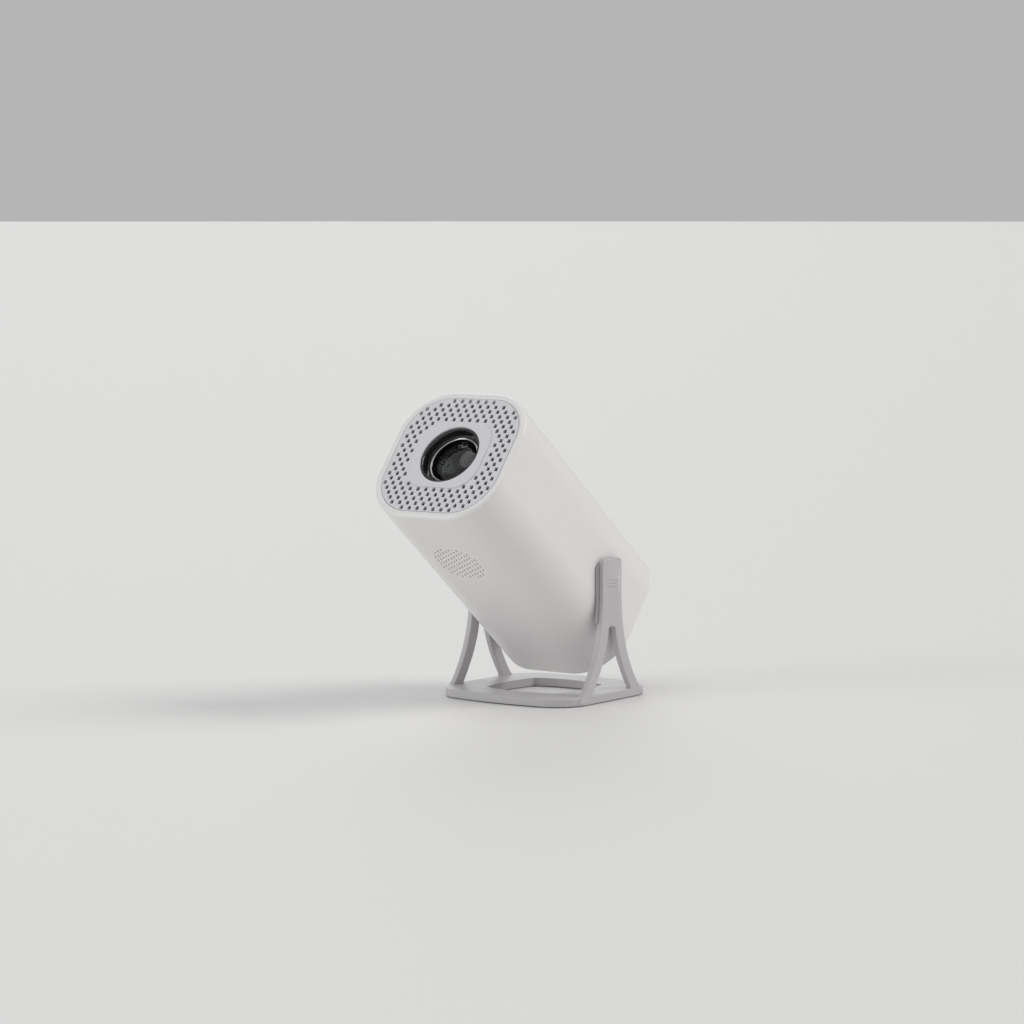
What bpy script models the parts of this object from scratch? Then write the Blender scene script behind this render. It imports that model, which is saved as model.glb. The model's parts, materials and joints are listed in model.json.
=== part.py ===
"""A portable projector: a long rounded-square body that tilts between the arms of a ring-based stand.

The origin is on the surface the stand rests on, under the middle of the object's box. +Z is up, the lens
looks towards -Y and up, and the tilt axis runs along X. The body's own frame has its origin on the tilt
axis, -Y along the optical axis out of the lens and +Z towards the body's top.
"""

import math

import bmesh
import bpy
from mathutils import Matrix, Vector

MM = 0.001
GAP = 0.3 * MM  # free space between touching pieces

# Body: a sleeve of rounded-square section, tilted about an axis across it.
TILT = math.radians(38.7)
BODY_HALF_W = 55.2 * MM
BODY_HALF_H = 54.5 * MM
BODY_CORNER = 37.4 * MM
FRONT = 148.8 * MM  # from the tilt axis to the front rim
REAR = 54.5 * MM  # from the tilt axis to the rear face
WALL = 2.4 * MM
FRONT_ROUND = 2.7 * MM
REAR_ROUND = 1.5 * MM

# Front plate and the land round the lens. The rear cover is sunk into the shell's rear rim in the same way.
RIM = 5.2 * MM
PLATE_THICK = 2.2 * MM
PLATE_SEAT = 2.2 * MM
COVER_RIM = 3.6 * MM
COVER_SINK = 0.5 * MM
COVER_THICK = 2.4 * MM
COVER_SEAT_DEPTH = COVER_SINK + COVER_THICK + 2 * MM
LAND_HALF_W = 30.5 * MM
LAND_HALF_H = 28.5 * MM
LAND_CORNER = 18.0 * MM
LAND_RISE = 0.8 * MM

# Lens and its focusing gear.
BARREL_R = 23.5 * MM
BARREL_FRONT = FRONT - 0.5 * MM
GUIDE_R = 26.5 * MM
GEAR_MODULE = 1.62 * MM
WHEEL_TEETH = 16
RING_TEETH = 38
GEAR_AT = 125.0 * MM  # ahead of the tilt axis
GEAR_THICK = 6.0 * MM
WHEEL_UP = (WHEEL_TEETH + RING_TEETH) / 2 * GEAR_MODULE + 0.3 * MM

# Sound outlet in the underside of the shell.
SPEAKER_AT = FRONT - 58.5 * MM
SPEAKER_R = 20.0 * MM

# Stand.
PIVOT_Y = 36.55 * MM
PIVOT_Z = 92.0 * MM
SIDE_GAP = 1.2 * MM
ARM_THICK = 4.2 * MM
ARM_IN = BODY_HALF_W + SIDE_GAP
ARM_OUT = ARM_IN + ARM_THICK
ARM_TOP = 104.8 * MM
ARM_HALF_TOP = 12.2 * MM
ARM_FLARE = 30.0 * MM
ARM_FLARE_FROM = 85.0 * MM
ARM_FLARE_POWER = 2.6
SLOT_TOP = 54.8 * MM
SLOT_HALF_TOP = 4.5 * MM
SLOT_FLARE = 25.4 * MM
SLOT_FLARE_FROM = 54.0 * MM
SLOT_FLARE_POWER = 1.66
BASE_HALF_W = ARM_OUT + 0.3 * MM
BASE_CORNER = 27.0 * MM
BASE_CORNER_Y = 59.0 * MM
BASE_BULGE = 2.5 * MM
BASE_TOP = 6.6 * MM
BASE_UNDER = 0.6 * MM  # the feet lift the base by this much
BASE_EDGE = 1.2 * MM
HOLE_CORNER = (31.0 * MM, 30.0 * MM)
HOLE_BULGE = (4.0 * MM, 7.0 * MM)
WEIGHT_HALF = (54.7 * MM, 54.7 * MM)
WEIGHT_HOLE = (41.3 * MM, 43.0 * MM)
BASE_SCREWS = ((48 * MM, 0.0), (-48 * MM, 0.0), (0.0, 49 * MM), (0.0, -49 * MM))
FOOT_SPOTS = ((43 * MM, 44 * MM), (-43 * MM, 44 * MM), (43 * MM, -44 * MM), (-43 * MM, -44 * MM))
HUB_R = 7.0 * MM
HUB_IN = 47.0 * MM

# Fan and sockets in the rear.
FAN_UP = 8.0 * MM
FAN_HALF = 30.0 * MM
FAN_R = 28.0 * MM
FAN_FRONT = -30.0 * MM
FAN_THICK = 15.0 * MM
BOARD_TOP = -39.2 * MM
PORT_FACE = 50.6 * MM  # from the tilt axis back to the sockets' mouths
PORT_DEPTH = 12.0 * MM
# Place across the rear, half width and half height of each socket.
PORTS = {
    "dc_socket": (-29 * MM, 4.6 * MM, 4.6 * MM),
    "hdmi_socket": (-9 * MM, 7.9 * MM, 3.2 * MM),
    "usb_socket": (13 * MM, 7.2 * MM, 3.5 * MM),
    "audio_socket": (30 * MM, 3.6 * MM, 3.6 * MM),
}
IR_HALF_W = 7.0 * MM
IR_HALF_H = 4.0 * MM
IR_UP = 41.0 * MM
REAR_SCREWS = ((38 * MM, 33 * MM), (-38 * MM, 33 * MM), (44 * MM, -22 * MM), (-44 * MM, -22 * MM))
VENT_PITCH = 5.4 * MM
VENT_HALF_W = 1.5 * MM
VENT_R = 25.0 * MM

# Button and light on top, behind the tilt axis.
BUTTON_AT = 8.0 * MM
BUTTON_HOLE_R = 6.3 * MM
LIGHT_AT = 22.0 * MM
LIGHT_HOLE_R = 1.5 * MM
BOSS_HOLE_R = 10.0 * MM

ROUND = 20  # sides of a small turned piece
LENS_ROUND = 28  # sides of the pieces round the lens


# ---------------------------------------------------------------- scene and materials

def clear_scene():
    for item in list(bpy.data.objects):
        bpy.data.objects.remove(item, do_unlink=True)


def material(name, colour, roughness, metallic=0.0, alpha=1.0):
    made = bpy.data.materials.new(name)
    made.use_nodes = True
    shader = made.node_tree.nodes["Principled BSDF"]
    shader.inputs["Base Color"].default_value = (*colour, 1.0)
    shader.inputs["Roughness"].default_value = roughness
    shader.inputs["Metallic"].default_value = metallic
    shader.inputs["Alpha"].default_value = alpha
    return made


def materials():
    return {
        "shell": material("shell", (0.72, 0.72, 0.74), 0.32, 0.15),
        "plate": material("plate", (0.62, 0.62, 0.66), 0.40),
        "stand": material("stand", (0.52, 0.50, 0.51), 0.42),
        "black": material("black", (0.02, 0.02, 0.022), 0.30),
        "rubber": material("rubber", (0.05, 0.05, 0.05), 0.85),
        "steel": material("steel", (0.56, 0.57, 0.58), 0.35, 1.0),
        "aluminium": material("aluminium", (0.75, 0.76, 0.77), 0.40, 1.0),
        "glass": material("glass", (0.80, 0.85, 0.90), 0.03, 0.0, 0.4),
        "board": material("board", (0.03, 0.16, 0.07), 0.50),
        "chrome": material("chrome", (0.80, 0.80, 0.82), 0.12, 1.0),
        "paper": material("paper", (0.09, 0.09, 0.09), 0.90),
        "led": material("led", (0.90, 0.84, 0.50), 0.40),
        "nylon": material("nylon", (0.80, 0.80, 0.76), 0.50),
    }


# ---------------------------------------------------------------- shapes

def place(name, bm, finish, parent=None, at=(0.0, 0.0, 0.0)):
    """Make an object of a bmesh, with its origin at `at` in its parent's frame."""
    bmesh.ops.recalc_face_normals(bm, faces=bm.faces)
    mesh = bpy.data.meshes.new(name)
    bm.to_mesh(mesh)
    bm.free()
    if finish:
        mesh.materials.append(finish)
    made = bpy.data.objects.new(name, mesh)
    bpy.context.collection.objects.link(made)
    made.parent = parent
    made.location = at
    mesh.shade_smooth()
    mesh.set_sharp_from_angle(angle=math.radians(35))
    return made


def boolean(target, bm, operation="DIFFERENCE", at=(0.0, 0.0, 0.0)):
    """Cut a bmesh from an object, or join it on, as a modifier with its own hidden helper."""
    helper = place(f"{target.name}_helper", bm, None, target.parent, target.location + Vector(at))
    helper.hide_render = True
    helper.display_type = "WIRE"
    modifier = target.modifiers.new(operation.title(), "BOOLEAN")
    modifier.operation = operation
    modifier.solver = "EXACT"
    modifier.object = helper
    return helper


def arc(centre, radius, start, end, steps):
    """Points on an arc of a circle, from one angle in degrees to another, both included."""
    found = []
    for i in range(steps + 1):
        turn = math.radians(start + (end - start) * i / steps)
        found.append((centre[0] + radius * math.cos(turn), centre[1] + radius * math.sin(turn)))
    return found


def rounded_rectangle(half_w, half_h, corner, steps=6):
    found = []
    for sx, sy, start in ((1, 1, 0), (-1, 1, 90), (-1, -1, 180), (1, -1, 270)):
        centre = (sx * (half_w - corner), sy * (half_h - corner))
        found += arc(centre, corner, start, start + 90, steps)
    return found


def bowed(start, end, rise, steps):
    """Points from start up to but not including end, bowed to the right of the way by `rise`."""
    along = Vector(end) - Vector(start)
    side = Vector((along.y, -along.x)).normalized()
    found = []
    for i in range(steps):
        t = i / steps
        point = Vector(start) + along * t + side * rise * 4 * t * (1 - t)
        found.append(tuple(point))
    return found


def stations(rings, axis="Y"):
    """A closed solid through equal outlines, each a pair of (distance along the axis, points)."""
    bm = bmesh.new()
    made = []
    for along, points in rings:
        ring = []
        for p, q in points:
            spot = {"X": (along, p, q), "Y": (p, along, q), "Z": (p, q, along)}[axis]
            ring.append(bm.verts.new(spot))
        made.append(ring)
    for low, high in zip(made, made[1:]):
        for i in range(len(low)):
            j = (i + 1) % len(low)
            bm.faces.new((low[i], low[j], high[j], high[i]))
    bm.faces.new(made[0])
    bm.faces.new(made[-1])
    return bm


def prism(points, low, high, axis="Y"):
    return stations([(low, points), (high, points)], axis)


def box(low, high):
    outline = [(low[0], low[1]), (high[0], low[1]), (high[0], high[1]), (low[0], high[1])]
    return prism(outline, low[2], high[2], "Z")


def turned(profile, axis="Y", sides=ROUND):
    """Turn a closed profile of (radius, distance along the axis) round the axis."""
    bm = bmesh.new()
    spots = [bm.verts.new((r, 0.0, along)) for r, along in profile]
    edges = []
    for i, spot in enumerate(spots):
        following = spots[(i + 1) % len(spots)]
        if spot.co.x < 1e-9 and following.co.x < 1e-9:
            continue
        edges.append(bm.edges.new((spot, following)))
    bmesh.ops.spin(
        bm, geom=spots + edges, cent=(0, 0, 0), axis=(0, 0, 1),
        angle=math.tau, steps=sides, use_merge=True,
    )
    bmesh.ops.remove_doubles(bm, verts=bm.verts, dist=1e-7)
    turn = {
        "X": Matrix.Rotation(math.radians(90), 4, "Y"),
        "Y": Matrix.Rotation(math.radians(-90), 4, "X"),
        "Z": Matrix.Identity(4),
    }[axis]
    bmesh.ops.transform(bm, matrix=turn, verts=bm.verts)
    return bm


def tube(inner, outer, low, high, axis="Y", sides=ROUND):
    return turned([(inner, low), (outer, low), (outer, high), (inner, high)], axis, sides)


def disc(radius, low, high, axis="Y", sides=ROUND):
    return turned([(0.0, low), (radius, low), (radius, high), (0.0, high)], axis, sides)


def joined(*parts):
    """One bmesh of several, which must not overlap unless a Boolean joins them later."""
    bm = bmesh.new()
    for part in parts:
        mesh = bpy.data.meshes.new("part")
        part.to_mesh(mesh)
        part.free()
        bm.from_mesh(mesh)
        bpy.data.meshes.remove(mesh)
    return bm


def moved(bm, offset):
    bmesh.ops.translate(bm, vec=offset, verts=bm.verts)
    return bm


def rounded_sleeve(half_w, half_h, corner, front, rear, front_round, rear_round):
    """The body's section run from the front (at -Y) to the rear, with both edges rounded."""
    rings = []
    steps = 2
    for i in range(steps + 1):
        turn = math.radians(90 * i / steps)
        inset = front_round * (1 - math.sin(turn))
        along = -front + front_round * (1 - math.cos(turn))
        rings.append((along, rounded_rectangle(half_w - inset, half_h - inset, corner - inset)))
    for i in range(steps + 1):
        turn = math.radians(90 * i / steps)
        inset = rear_round * (1 - math.cos(turn))
        along = rear - rear_round * (1 - math.sin(turn))
        rings.append((along, rounded_rectangle(half_w - inset, half_h - inset, corner - inset)))
    return stations(rings)


def section(less):
    """The body's outline made smaller by `less` all round."""
    return rounded_rectangle(BODY_HALF_W - less, BODY_HALF_H - less, BODY_CORNER - less)


def gear_outline(teeth, turn):
    """Straight-sided teeth, slimmer than half the pitch so that the mesh has play."""
    pitch_radius = teeth * GEAR_MODULE / 2
    root = pitch_radius - 1.0 * GEAR_MODULE
    tip = pitch_radius + 0.7 * GEAR_MODULE
    step = math.tau / teeth
    found = []
    for i in range(teeth):
        middle = turn + i * step
        for radius, share in ((root, -0.25), (tip, -0.10), (tip, 0.10), (root, 0.25)):
            angle = middle + share * step
            found.append((radius * math.cos(angle), radius * math.sin(angle)))
    return found


# ---------------------------------------------------------------- stand

def base_outline(less=0.0):
    half_w = BASE_HALF_W - less
    corner = BASE_CORNER - less
    corner_y = BASE_CORNER_Y - less
    x = half_w - corner
    y = corner_y - corner
    found = arc((x, y), corner, 0, 90, 5)
    found += bowed((x, corner_y), (-x, corner_y), BASE_BULGE, 6)[1:]
    found += arc((-x, y), corner, 90, 180, 5)
    found += arc((-x, -y), corner, 180, 270, 5)
    found += bowed((-x, -corner_y), (x, -corner_y), BASE_BULGE, 6)[1:]
    found += arc((x, -y), corner, 270, 360, 5)
    return found


def hole_outline():
    x, y = HOLE_CORNER
    found = bowed((x, -y), (x, y), HOLE_BULGE[0], 5)
    found += bowed((x, y), (-x, y), HOLE_BULGE[1], 5)
    found += bowed((-x, y), (-x, -y), HOLE_BULGE[0], 5)
    found += bowed((-x, -y), (x, -y), HOLE_BULGE[1], 5)
    return found


def arm_half_width(z):
    flare = max(0.0, 1 - z / ARM_FLARE_FROM)
    return ARM_HALF_TOP + ARM_FLARE * flare ** ARM_FLARE_POWER


def slot_half_width(z):
    flare = max(0.0, 1 - z / SLOT_FLARE_FROM)
    return SLOT_HALF_TOP + SLOT_FLARE * flare ** SLOT_FLARE_POWER


def mirrored(right):
    """A whole outline from its right half, which runs from the bottom to the top."""
    return right + [(-y, z) for y, z in reversed(right)]


def arm_outline(bottom):
    corner = 4.0 * MM
    right = []
    for i in range(9):
        z = bottom + (ARM_FLARE_FROM - bottom) * i / 8
        right.append((arm_half_width(z), z))
    right += arc((ARM_HALF_TOP - corner, ARM_TOP - corner), corner, 0, 90, 3)
    return mirrored(right)


def slot_outline(bottom):
    corner = 3.0 * MM
    low_end = SLOT_TOP - corner
    right = []
    for i in range(7):
        z = bottom + (low_end - bottom) * i / 6
        right.append((slot_half_width(z), z))
    right += arc((SLOT_HALF_TOP - corner, low_end), corner, 0, 90, 3)[1:]
    return mirrored(right)


def stand_frame(finish, stand):
    """Ring-shaped base, two arms and the hubs that carry the body, in one moulding."""
    rings = [
        (BASE_UNDER, base_outline()),
        (BASE_TOP - BASE_EDGE, base_outline()),
        (BASE_TOP - 0.3 * BASE_EDGE, base_outline(0.3 * BASE_EDGE)),
        (BASE_TOP, base_outline(BASE_EDGE)),
    ]
    made = place("stand_frame", stations(rings, "Z"), finish, stand)
    boolean(made, prism(hole_outline(), -5 * MM, 15 * MM, "Z"))
    sunk = 3.6 * MM
    for side in (-1, 1):
        inner, outer = side * ARM_IN, side * ARM_OUT
        arm = prism(arm_outline(sunk), inner, outer, "X")
        helper = boolean(made, arm, "UNION")
        boolean(helper, prism(slot_outline(2 * MM), 0.9 * inner, 1.1 * outer, "X"))
        hub = disc(HUB_R, side * HUB_IN, side * (ARM_IN + 1.6 * MM), "X")
        boolean(made, moved(hub, (0, 0, PIVOT_Z)), "UNION")
        bore = disc(1.7 * MM, side * (HUB_IN - 2 * MM), side * (ARM_IN - 1 * MM), "X", 12)
        boolean(made, moved(bore, (0, 0, PIVOT_Z)))
    recess = place("recess", weight_ring(GAP, -5 * MM, 3.5 * MM), None, stand)
    recess.hide_render = True
    recess.display_type = "WIRE"
    boolean(recess, prism(weight_inner(GAP), -8 * MM, 8 * MM, "Z"))
    cut = made.modifiers.new("Recess", "BOOLEAN")
    cut.operation = "DIFFERENCE"
    cut.solver = "EXACT"
    cut.object = recess
    for x, y in BASE_SCREWS:
        boolean(made, moved(disc(1.8 * MM, 2 * MM, 5.4 * MM, "Z", 12), (x, y, 0)))


def weight_ring(more, low, high):
    outline = rounded_rectangle(WEIGHT_HALF[0] + more, WEIGHT_HALF[1] + more, 22 * MM + more, 3)
    return prism(outline, low, high, "Z")


def weight_inner(less):
    return rounded_rectangle(WEIGHT_HOLE[0] - less, WEIGHT_HOLE[1] - less, 14 * MM - less, 3)


def base_weight(finish, stand):
    made = place("base_weight", weight_ring(0.0, 1.2 * MM, 3.2 * MM), finish, stand)
    boolean(made, prism(weight_inner(0.0), 0, 5 * MM, "Z"))
    for x, y in BASE_SCREWS:
        boolean(made, moved(disc(3.2 * MM, 0, 2.4 * MM, "Z", 12), (x, y, 0)))
        boolean(made, moved(disc(1.8 * MM, 0, 5 * MM, "Z", 12), (x, y, 0)))


def base_fittings(finish, stand):
    screw = [(0, 0.9), (2.8, 0.9), (2.8, 2.1), (1.4, 2.1), (1.4, 5.0), (0, 5.0)]
    profile = [(r * MM, z * MM) for r, z in screw]
    for i, (x, y) in enumerate(BASE_SCREWS, 1):
        place(f"base_screw_{i}", turned(profile, "Z", 12), finish["steel"], stand, (x, y, 0))
    for i, (x, y) in enumerate(FOOT_SPOTS, 1):
        place(f"rubber_foot_{i}", disc(5 * MM, 0, 0.9 * MM, "Z", 20), finish["rubber"], stand, (x, y, 0))


def hinge_parts(finish, stand, body):
    """Washers and screws stay with the stand; bushes and plates turn with the body."""
    pivot = (0, 0, PIVOT_Z)
    screw = [(0, -6.4), (1.35, -6.4), (1.35, 0.3), (4.4, 0.3), (4.4, 2.3), (0, 2.3)]
    for side, word in ((-1, "left"), (1, "right")):
        washer = tube(HUB_R + GAP, 11 * MM, side * (BODY_HALF_W + GAP), side * (ARM_IN - GAP), "X")
        place(f"hinge_washer_{word}", washer, finish["rubber"], stand, pivot)
        profile = [(r * MM, side * (HUB_IN - h * MM)) for r, h in screw]
        place(f"hinge_screw_{word}", turned(profile, "X", 16), finish["steel"], stand, pivot)
        bush = tube(HUB_R + GAP, 9.7 * MM, side * (BODY_HALF_W - WALL), side * (BODY_HALF_W - 0.1 * MM), "X")
        place(f"hinge_bush_{word}", bush, finish["nylon"], body)
        outline = rounded_rectangle(17 * MM, 15 * MM, 4 * MM, 2)
        plate = prism(outline, side * (BODY_HALF_W - WALL - 2.3 * MM), side * (BODY_HALF_W - WALL - GAP), "X")
        made = place(f"hinge_plate_{word}", plate, finish["steel"], body)
        boolean(made, disc(HUB_R + GAP, side * 45 * MM, side * 60 * MM, "X"))


# ---------------------------------------------------------------- casing

def rhombus(x, z, half_w, half_h, lean):
    """A small leaning hole's four corners."""
    return [
        (x - half_w - lean, z - half_h), (x + half_w - lean, z - half_h),
        (x + half_w + lean, z + half_h), (x - half_w + lean, z + half_h),
    ]


def outer_shell(finish, body):
    """The sleeve, with a seat for the front plate and one for the rear cover."""
    sleeve = rounded_sleeve(BODY_HALF_W, BODY_HALF_H, BODY_CORNER, FRONT, REAR, FRONT_ROUND, REAR_ROUND)
    made = place("outer_shell", sleeve, finish, body)
    pocket = PLATE_THICK + GAP
    boolean(made, prism(section(WALL), -FRONT + pocket + PLATE_SEAT, REAR - COVER_SEAT_DEPTH))
    boolean(made, prism(section(COVER_RIM + 2 * MM), REAR - 20 * MM, REAR + 5 * MM))
    boolean(made, prism(section(COVER_RIM), REAR - COVER_SINK - COVER_THICK - GAP, REAR + 5 * MM))
    boolean(made, prism(section(RIM + 2.2 * MM), -FRONT - 5 * MM, -FRONT + 12 * MM))
    boolean(made, prism(section(RIM), -FRONT - 5 * MM, -FRONT + pocket))
    for side in (-1, 1):
        boolean(made, disc(BOSS_HOLE_R, side * 45 * MM, side * 60 * MM, "X"))
    slot = box((-13.5 * MM, -GEAR_AT - 4.2 * MM, 45 * MM), (13.5 * MM, -GEAR_AT + 4.2 * MM, 60 * MM))
    boolean(made, slot)
    boolean(made, disc(BUTTON_HOLE_R, 45 * MM, 60 * MM, "Z", 20), at=(0, BUTTON_AT, 0))
    boolean(made, disc(LIGHT_HOLE_R, 45 * MM, 60 * MM, "Z", 10), at=(0, LIGHT_AT, 0))
    boolean(made, sound_holes())
    return made


def sound_holes():
    """A coarse field of round-cornered holes through the underside, inside the sound outlet's circle."""
    pitch = 8.0 * MM
    parts = []
    for row in range(-3, 4):
        shift = pitch / 2 if row % 2 else 0.0
        for col in range(-3, 4):
            x, y = col * pitch + shift, row * pitch * 0.87
            if math.hypot(x, y) > SPEAKER_R - 1.6 * MM:
                continue
            hole = prism(rhombus(x, y - SPEAKER_AT, 1.6 * MM, 2.0 * MM, 0.5 * MM), -60 * MM, -48 * MM, "Z")
            parts.append(hole)
    return joined(*parts)


def front_plate(finish, body):
    """The front plate: a perforated field between the rim and a smooth raised land with the lens hole."""
    front = -FRONT
    plate = prism(section(RIM + GAP), front, front + PLATE_THICK)
    made = place("front_plate", plate, finish, body)
    land = rounded_rectangle(LAND_HALF_W, LAND_HALF_H, LAND_CORNER, 4)
    boolean(made, prism(land, front - LAND_RISE, front + 1 * MM), "UNION")
    boolean(made, disc(BARREL_R + 0.4 * MM, front - 5 * MM, front + 10 * MM, "Y", LENS_ROUND))
    parts = []
    pitch = 9.2 * MM
    for row in range(-6, 7):
        shift = pitch / 2 if row % 2 else 0.0
        for col in range(-6, 7):
            x, z = col * pitch + shift, row * pitch * 0.87
            if not in_grille(x, z, 2.9 * MM):
                continue
            hole = prism(rhombus(x, z, 2.0 * MM, 2.1 * MM, 0.7 * MM), front - 5 * MM, front + 8 * MM)
            parts.append(hole)
    boolean(made, joined(*parts))


def in_rounded(x, z, half_w, half_h, corner):
    dx = max(abs(x) - (half_w - corner), 0.0)
    dz = max(abs(z) - (half_h - corner), 0.0)
    return math.hypot(dx, dz) < corner


def in_grille(x, z, margin):
    inside = in_rounded(
        x, z, BODY_HALF_W - RIM - margin - 1.2 * MM,
        BODY_HALF_H - RIM - margin - 1.2 * MM, BODY_CORNER - RIM - margin,
    )
    on_land = in_rounded(x, z, LAND_HALF_W + margin, LAND_HALF_H + margin, LAND_CORNER + margin)
    return inside and not on_land


def rear_cover(finish, body):
    """A plate sunk into the rear rim, with the air outlet and the openings for the sockets."""
    back = REAR - COVER_SINK
    plate = prism(section(COVER_RIM + GAP), back - COVER_THICK, back)
    made = place("rear_cover", plate, finish, body)
    slots = []
    for i in range(-4, 5):
        x = i * VENT_PITCH
        tall = math.sqrt(VENT_R ** 2 - x * x)
        low = (x - VENT_HALF_W, 40 * MM, FAN_UP - tall)
        slots.append(box(low, (x + VENT_HALF_W, 60 * MM, FAN_UP + tall)))
    boolean(made, joined(*slots))
    for x, half_w, half_h in PORTS.values():
        low = (x - half_w - GAP, 40 * MM, BOARD_TOP - GAP)
        high = (x + half_w + GAP, 60 * MM, BOARD_TOP + 2 * half_h + GAP)
        boolean(made, box(low, high))
    outline = rounded_rectangle(IR_HALF_W + GAP, IR_HALF_H + GAP, IR_HALF_H + GAP, 4)
    boolean(made, moved(prism(outline, 40 * MM, 60 * MM), (0, 0, IR_UP)))
    for x, z in REAR_SCREWS:
        boolean(made, moved(disc(1.7 * MM, 40 * MM, 60 * MM, "Y", 12), (x, 0, z)))
        boolean(made, moved(disc(3.1 * MM, back - 1.0 * MM, 60 * MM, "Y", 12), (x, 0, z)))
    return made


def sockets(finish, body):
    back = PORT_FACE - PORT_DEPTH
    for name, (x, half_w, half_h) in PORTS.items():
        plain = name in ("dc_socket", "audio_socket")
        shell = box((-half_w, back, -half_h), (half_w, PORT_FACE, half_h))
        look = finish["black" if plain else "chrome"]
        made = place(name, shell, look, body, (x, 0, BOARD_TOP + half_h))
        if plain:
            hollow = 3.1 * MM if name == "dc_socket" else 1.8 * MM
            boolean(made, disc(hollow, back + 2 * MM, PORT_FACE + 5 * MM, "Y", 20))
        else:
            wall = 0.5 * MM
            low = (-half_w + wall, back + 2 * MM, -half_h + wall)
            hollow = box(low, (half_w - wall, 60 * MM, half_h - wall))
            boolean(made, hollow)
        if name == "dc_socket":
            boolean(made, disc(1.0 * MM, back + 1 * MM, PORT_FACE - 1.5 * MM, "Y", 12), "UNION")


def rear_fittings(finish, body):
    outline = rounded_rectangle(IR_HALF_W, IR_HALF_H, IR_HALF_H, 4)
    back = REAR - COVER_SINK
    window = prism(outline, back - COVER_THICK, back - 0.1 * MM)
    place("ir_window", window, finish["black"], body, (0, 0, IR_UP))
    screw = [(0, 46), (1.4, 46), (1.4, 53.3), (2.8, 53.3), (2.8, 53.9), (0, 53.9)]
    profile = [(r * MM, y * MM) for r, y in screw]
    for i, (x, z) in enumerate(REAR_SCREWS, 1):
        place(f"rear_screw_{i}", turned(profile, "Y", 12), finish["steel"], body, (x, 0, z))


def top_fittings(finish, body):
    button = [
        (0, 48.5), (2, 48.5), (2, 50.4), (7.4, 50.4), (7.4, 51.6), (5.9, 51.6), (5.9, 55.0),
        (5.4, 55.5), (0, 55.5),
    ]
    profile = [(r * MM, z * MM) for r, z in button]
    place("power_button", turned(profile, "Z", ROUND), finish["stand"], body, (0, BUTTON_AT, 0))
    board = box((-9 * MM, -8 * MM, 45 * MM), (9 * MM, 22 * MM, 46.6 * MM))
    place("button_board", board, finish["board"], body, (0, BUTTON_AT, 0))
    light = [(0, 47), (1.2, 47), (1.2, 54.6), (0, 54.6)]
    profile = [(r * MM, z * MM) for r, z in light]
    place("status_light", turned(profile, "Z", 10), finish["led"], body, (0, LIGHT_AT, 0))


# ---------------------------------------------------------------- lens and focus

def lens_parts(finish, body):
    """Barrel, its three lenses and the ring that holds the front one; they slide together."""
    front = -BARREL_FRONT
    outside = [(BARREL_R, 0), (BARREL_R, 36 * MM), (20 * MM, 42.3 * MM)]
    inside = [
        (16.2 * MM, 42.3 * MM), (16.2 * MM, 34 * MM), (15.2 * MM, 34 * MM), (15.2 * MM, 26 * MM),
        (17.2 * MM, 26 * MM), (17.2 * MM, 14 * MM), (19.8 * MM, 14 * MM), (19.8 * MM, 6 * MM), (22.4 * MM, 0),
    ]
    profile = [(r, front + d) for r, d in outside + inside]
    place("lens_barrel", turned(profile, "Y", LENS_ROUND), finish["black"], body)
    lens("front_lens", 19.5 * MM, front + 7.2 * MM, front + 13.6 * MM, 3.0 * MM, 1.2 * MM, finish, body)
    lens("middle_lens", 16.9 * MM, front + 17 * MM, front + 25.6 * MM, 1.4 * MM, 1.4 * MM, finish, body)
    lens("rear_lens", 15.9 * MM, front + 34.4 * MM, front + 41.6 * MM, 1.4 * MM, 2.2 * MM, finish, body)
    ring = tube(17.6 * MM, 19.5 * MM, front + 6.0 * MM, front + 6.9 * MM, "Y", LENS_ROUND)
    place("lens_retaining_ring", ring, finish["chrome"], body)


def lens(name, radius, front, back, front_bulge, back_bulge, finish, body):
    """A glass disc whose two faces bulge: the figures give the whole thickness at the middle."""
    profile = []
    for t in (0.0, 0.4, 0.75, 1.0):
        profile.append((radius * t, front + front_bulge * t * t))
    for t in (1.0, 0.5, 0.0):
        profile.append((radius * t, back - back_bulge * t * t))
    place(name, turned(profile, "Y", ROUND), finish["glass"], body)


def focus_parts(finish, body):
    """Fixed guide with two ears, toothed ring round it and the toothed thumb wheel above."""
    low, high = -GEAR_AT - GEAR_THICK / 2, -GEAR_AT + GEAR_THICK / 2
    guide = tube(BARREL_R + 0.4 * MM, GUIDE_R, -141 * MM, -103 * MM, "Y", LENS_ROUND)
    made = place("lens_guide", guide, finish["black"], body)
    for ear in (low - 3.4 * MM, high + 1.4 * MM):
        plate = box((-5 * MM, ear, 25 * MM), (5 * MM, ear + 2 * MM, WHEEL_UP + 4 * MM))
        boolean(made, plate, "UNION")
        boolean(made, moved(disc(1.8 * MM, ear - 2 * MM, ear + 4 * MM, "Y", 14), (0, 0, WHEEL_UP)))
    ring = prism(gear_outline(RING_TEETH, math.pi / 2), low, high)
    made = place("focus_ring", ring, finish["nylon"], body)
    boolean(made, disc(GUIDE_R + GAP, low - 5 * MM, high + 5 * MM, "Y", LENS_ROUND))
    half_tooth = math.pi / WHEEL_TEETH
    wheel = prism(gear_outline(WHEEL_TEETH, -math.pi / 2 + half_tooth), low, high)
    made = place("focus_wheel", wheel, finish["stand"], body, (0, 0, WHEEL_UP))
    boolean(made, disc(1.5 * MM, low - 3.4 * MM, high + 3.4 * MM, "Y", 14), "UNION")


# ---------------------------------------------------------------- light engine

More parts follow.
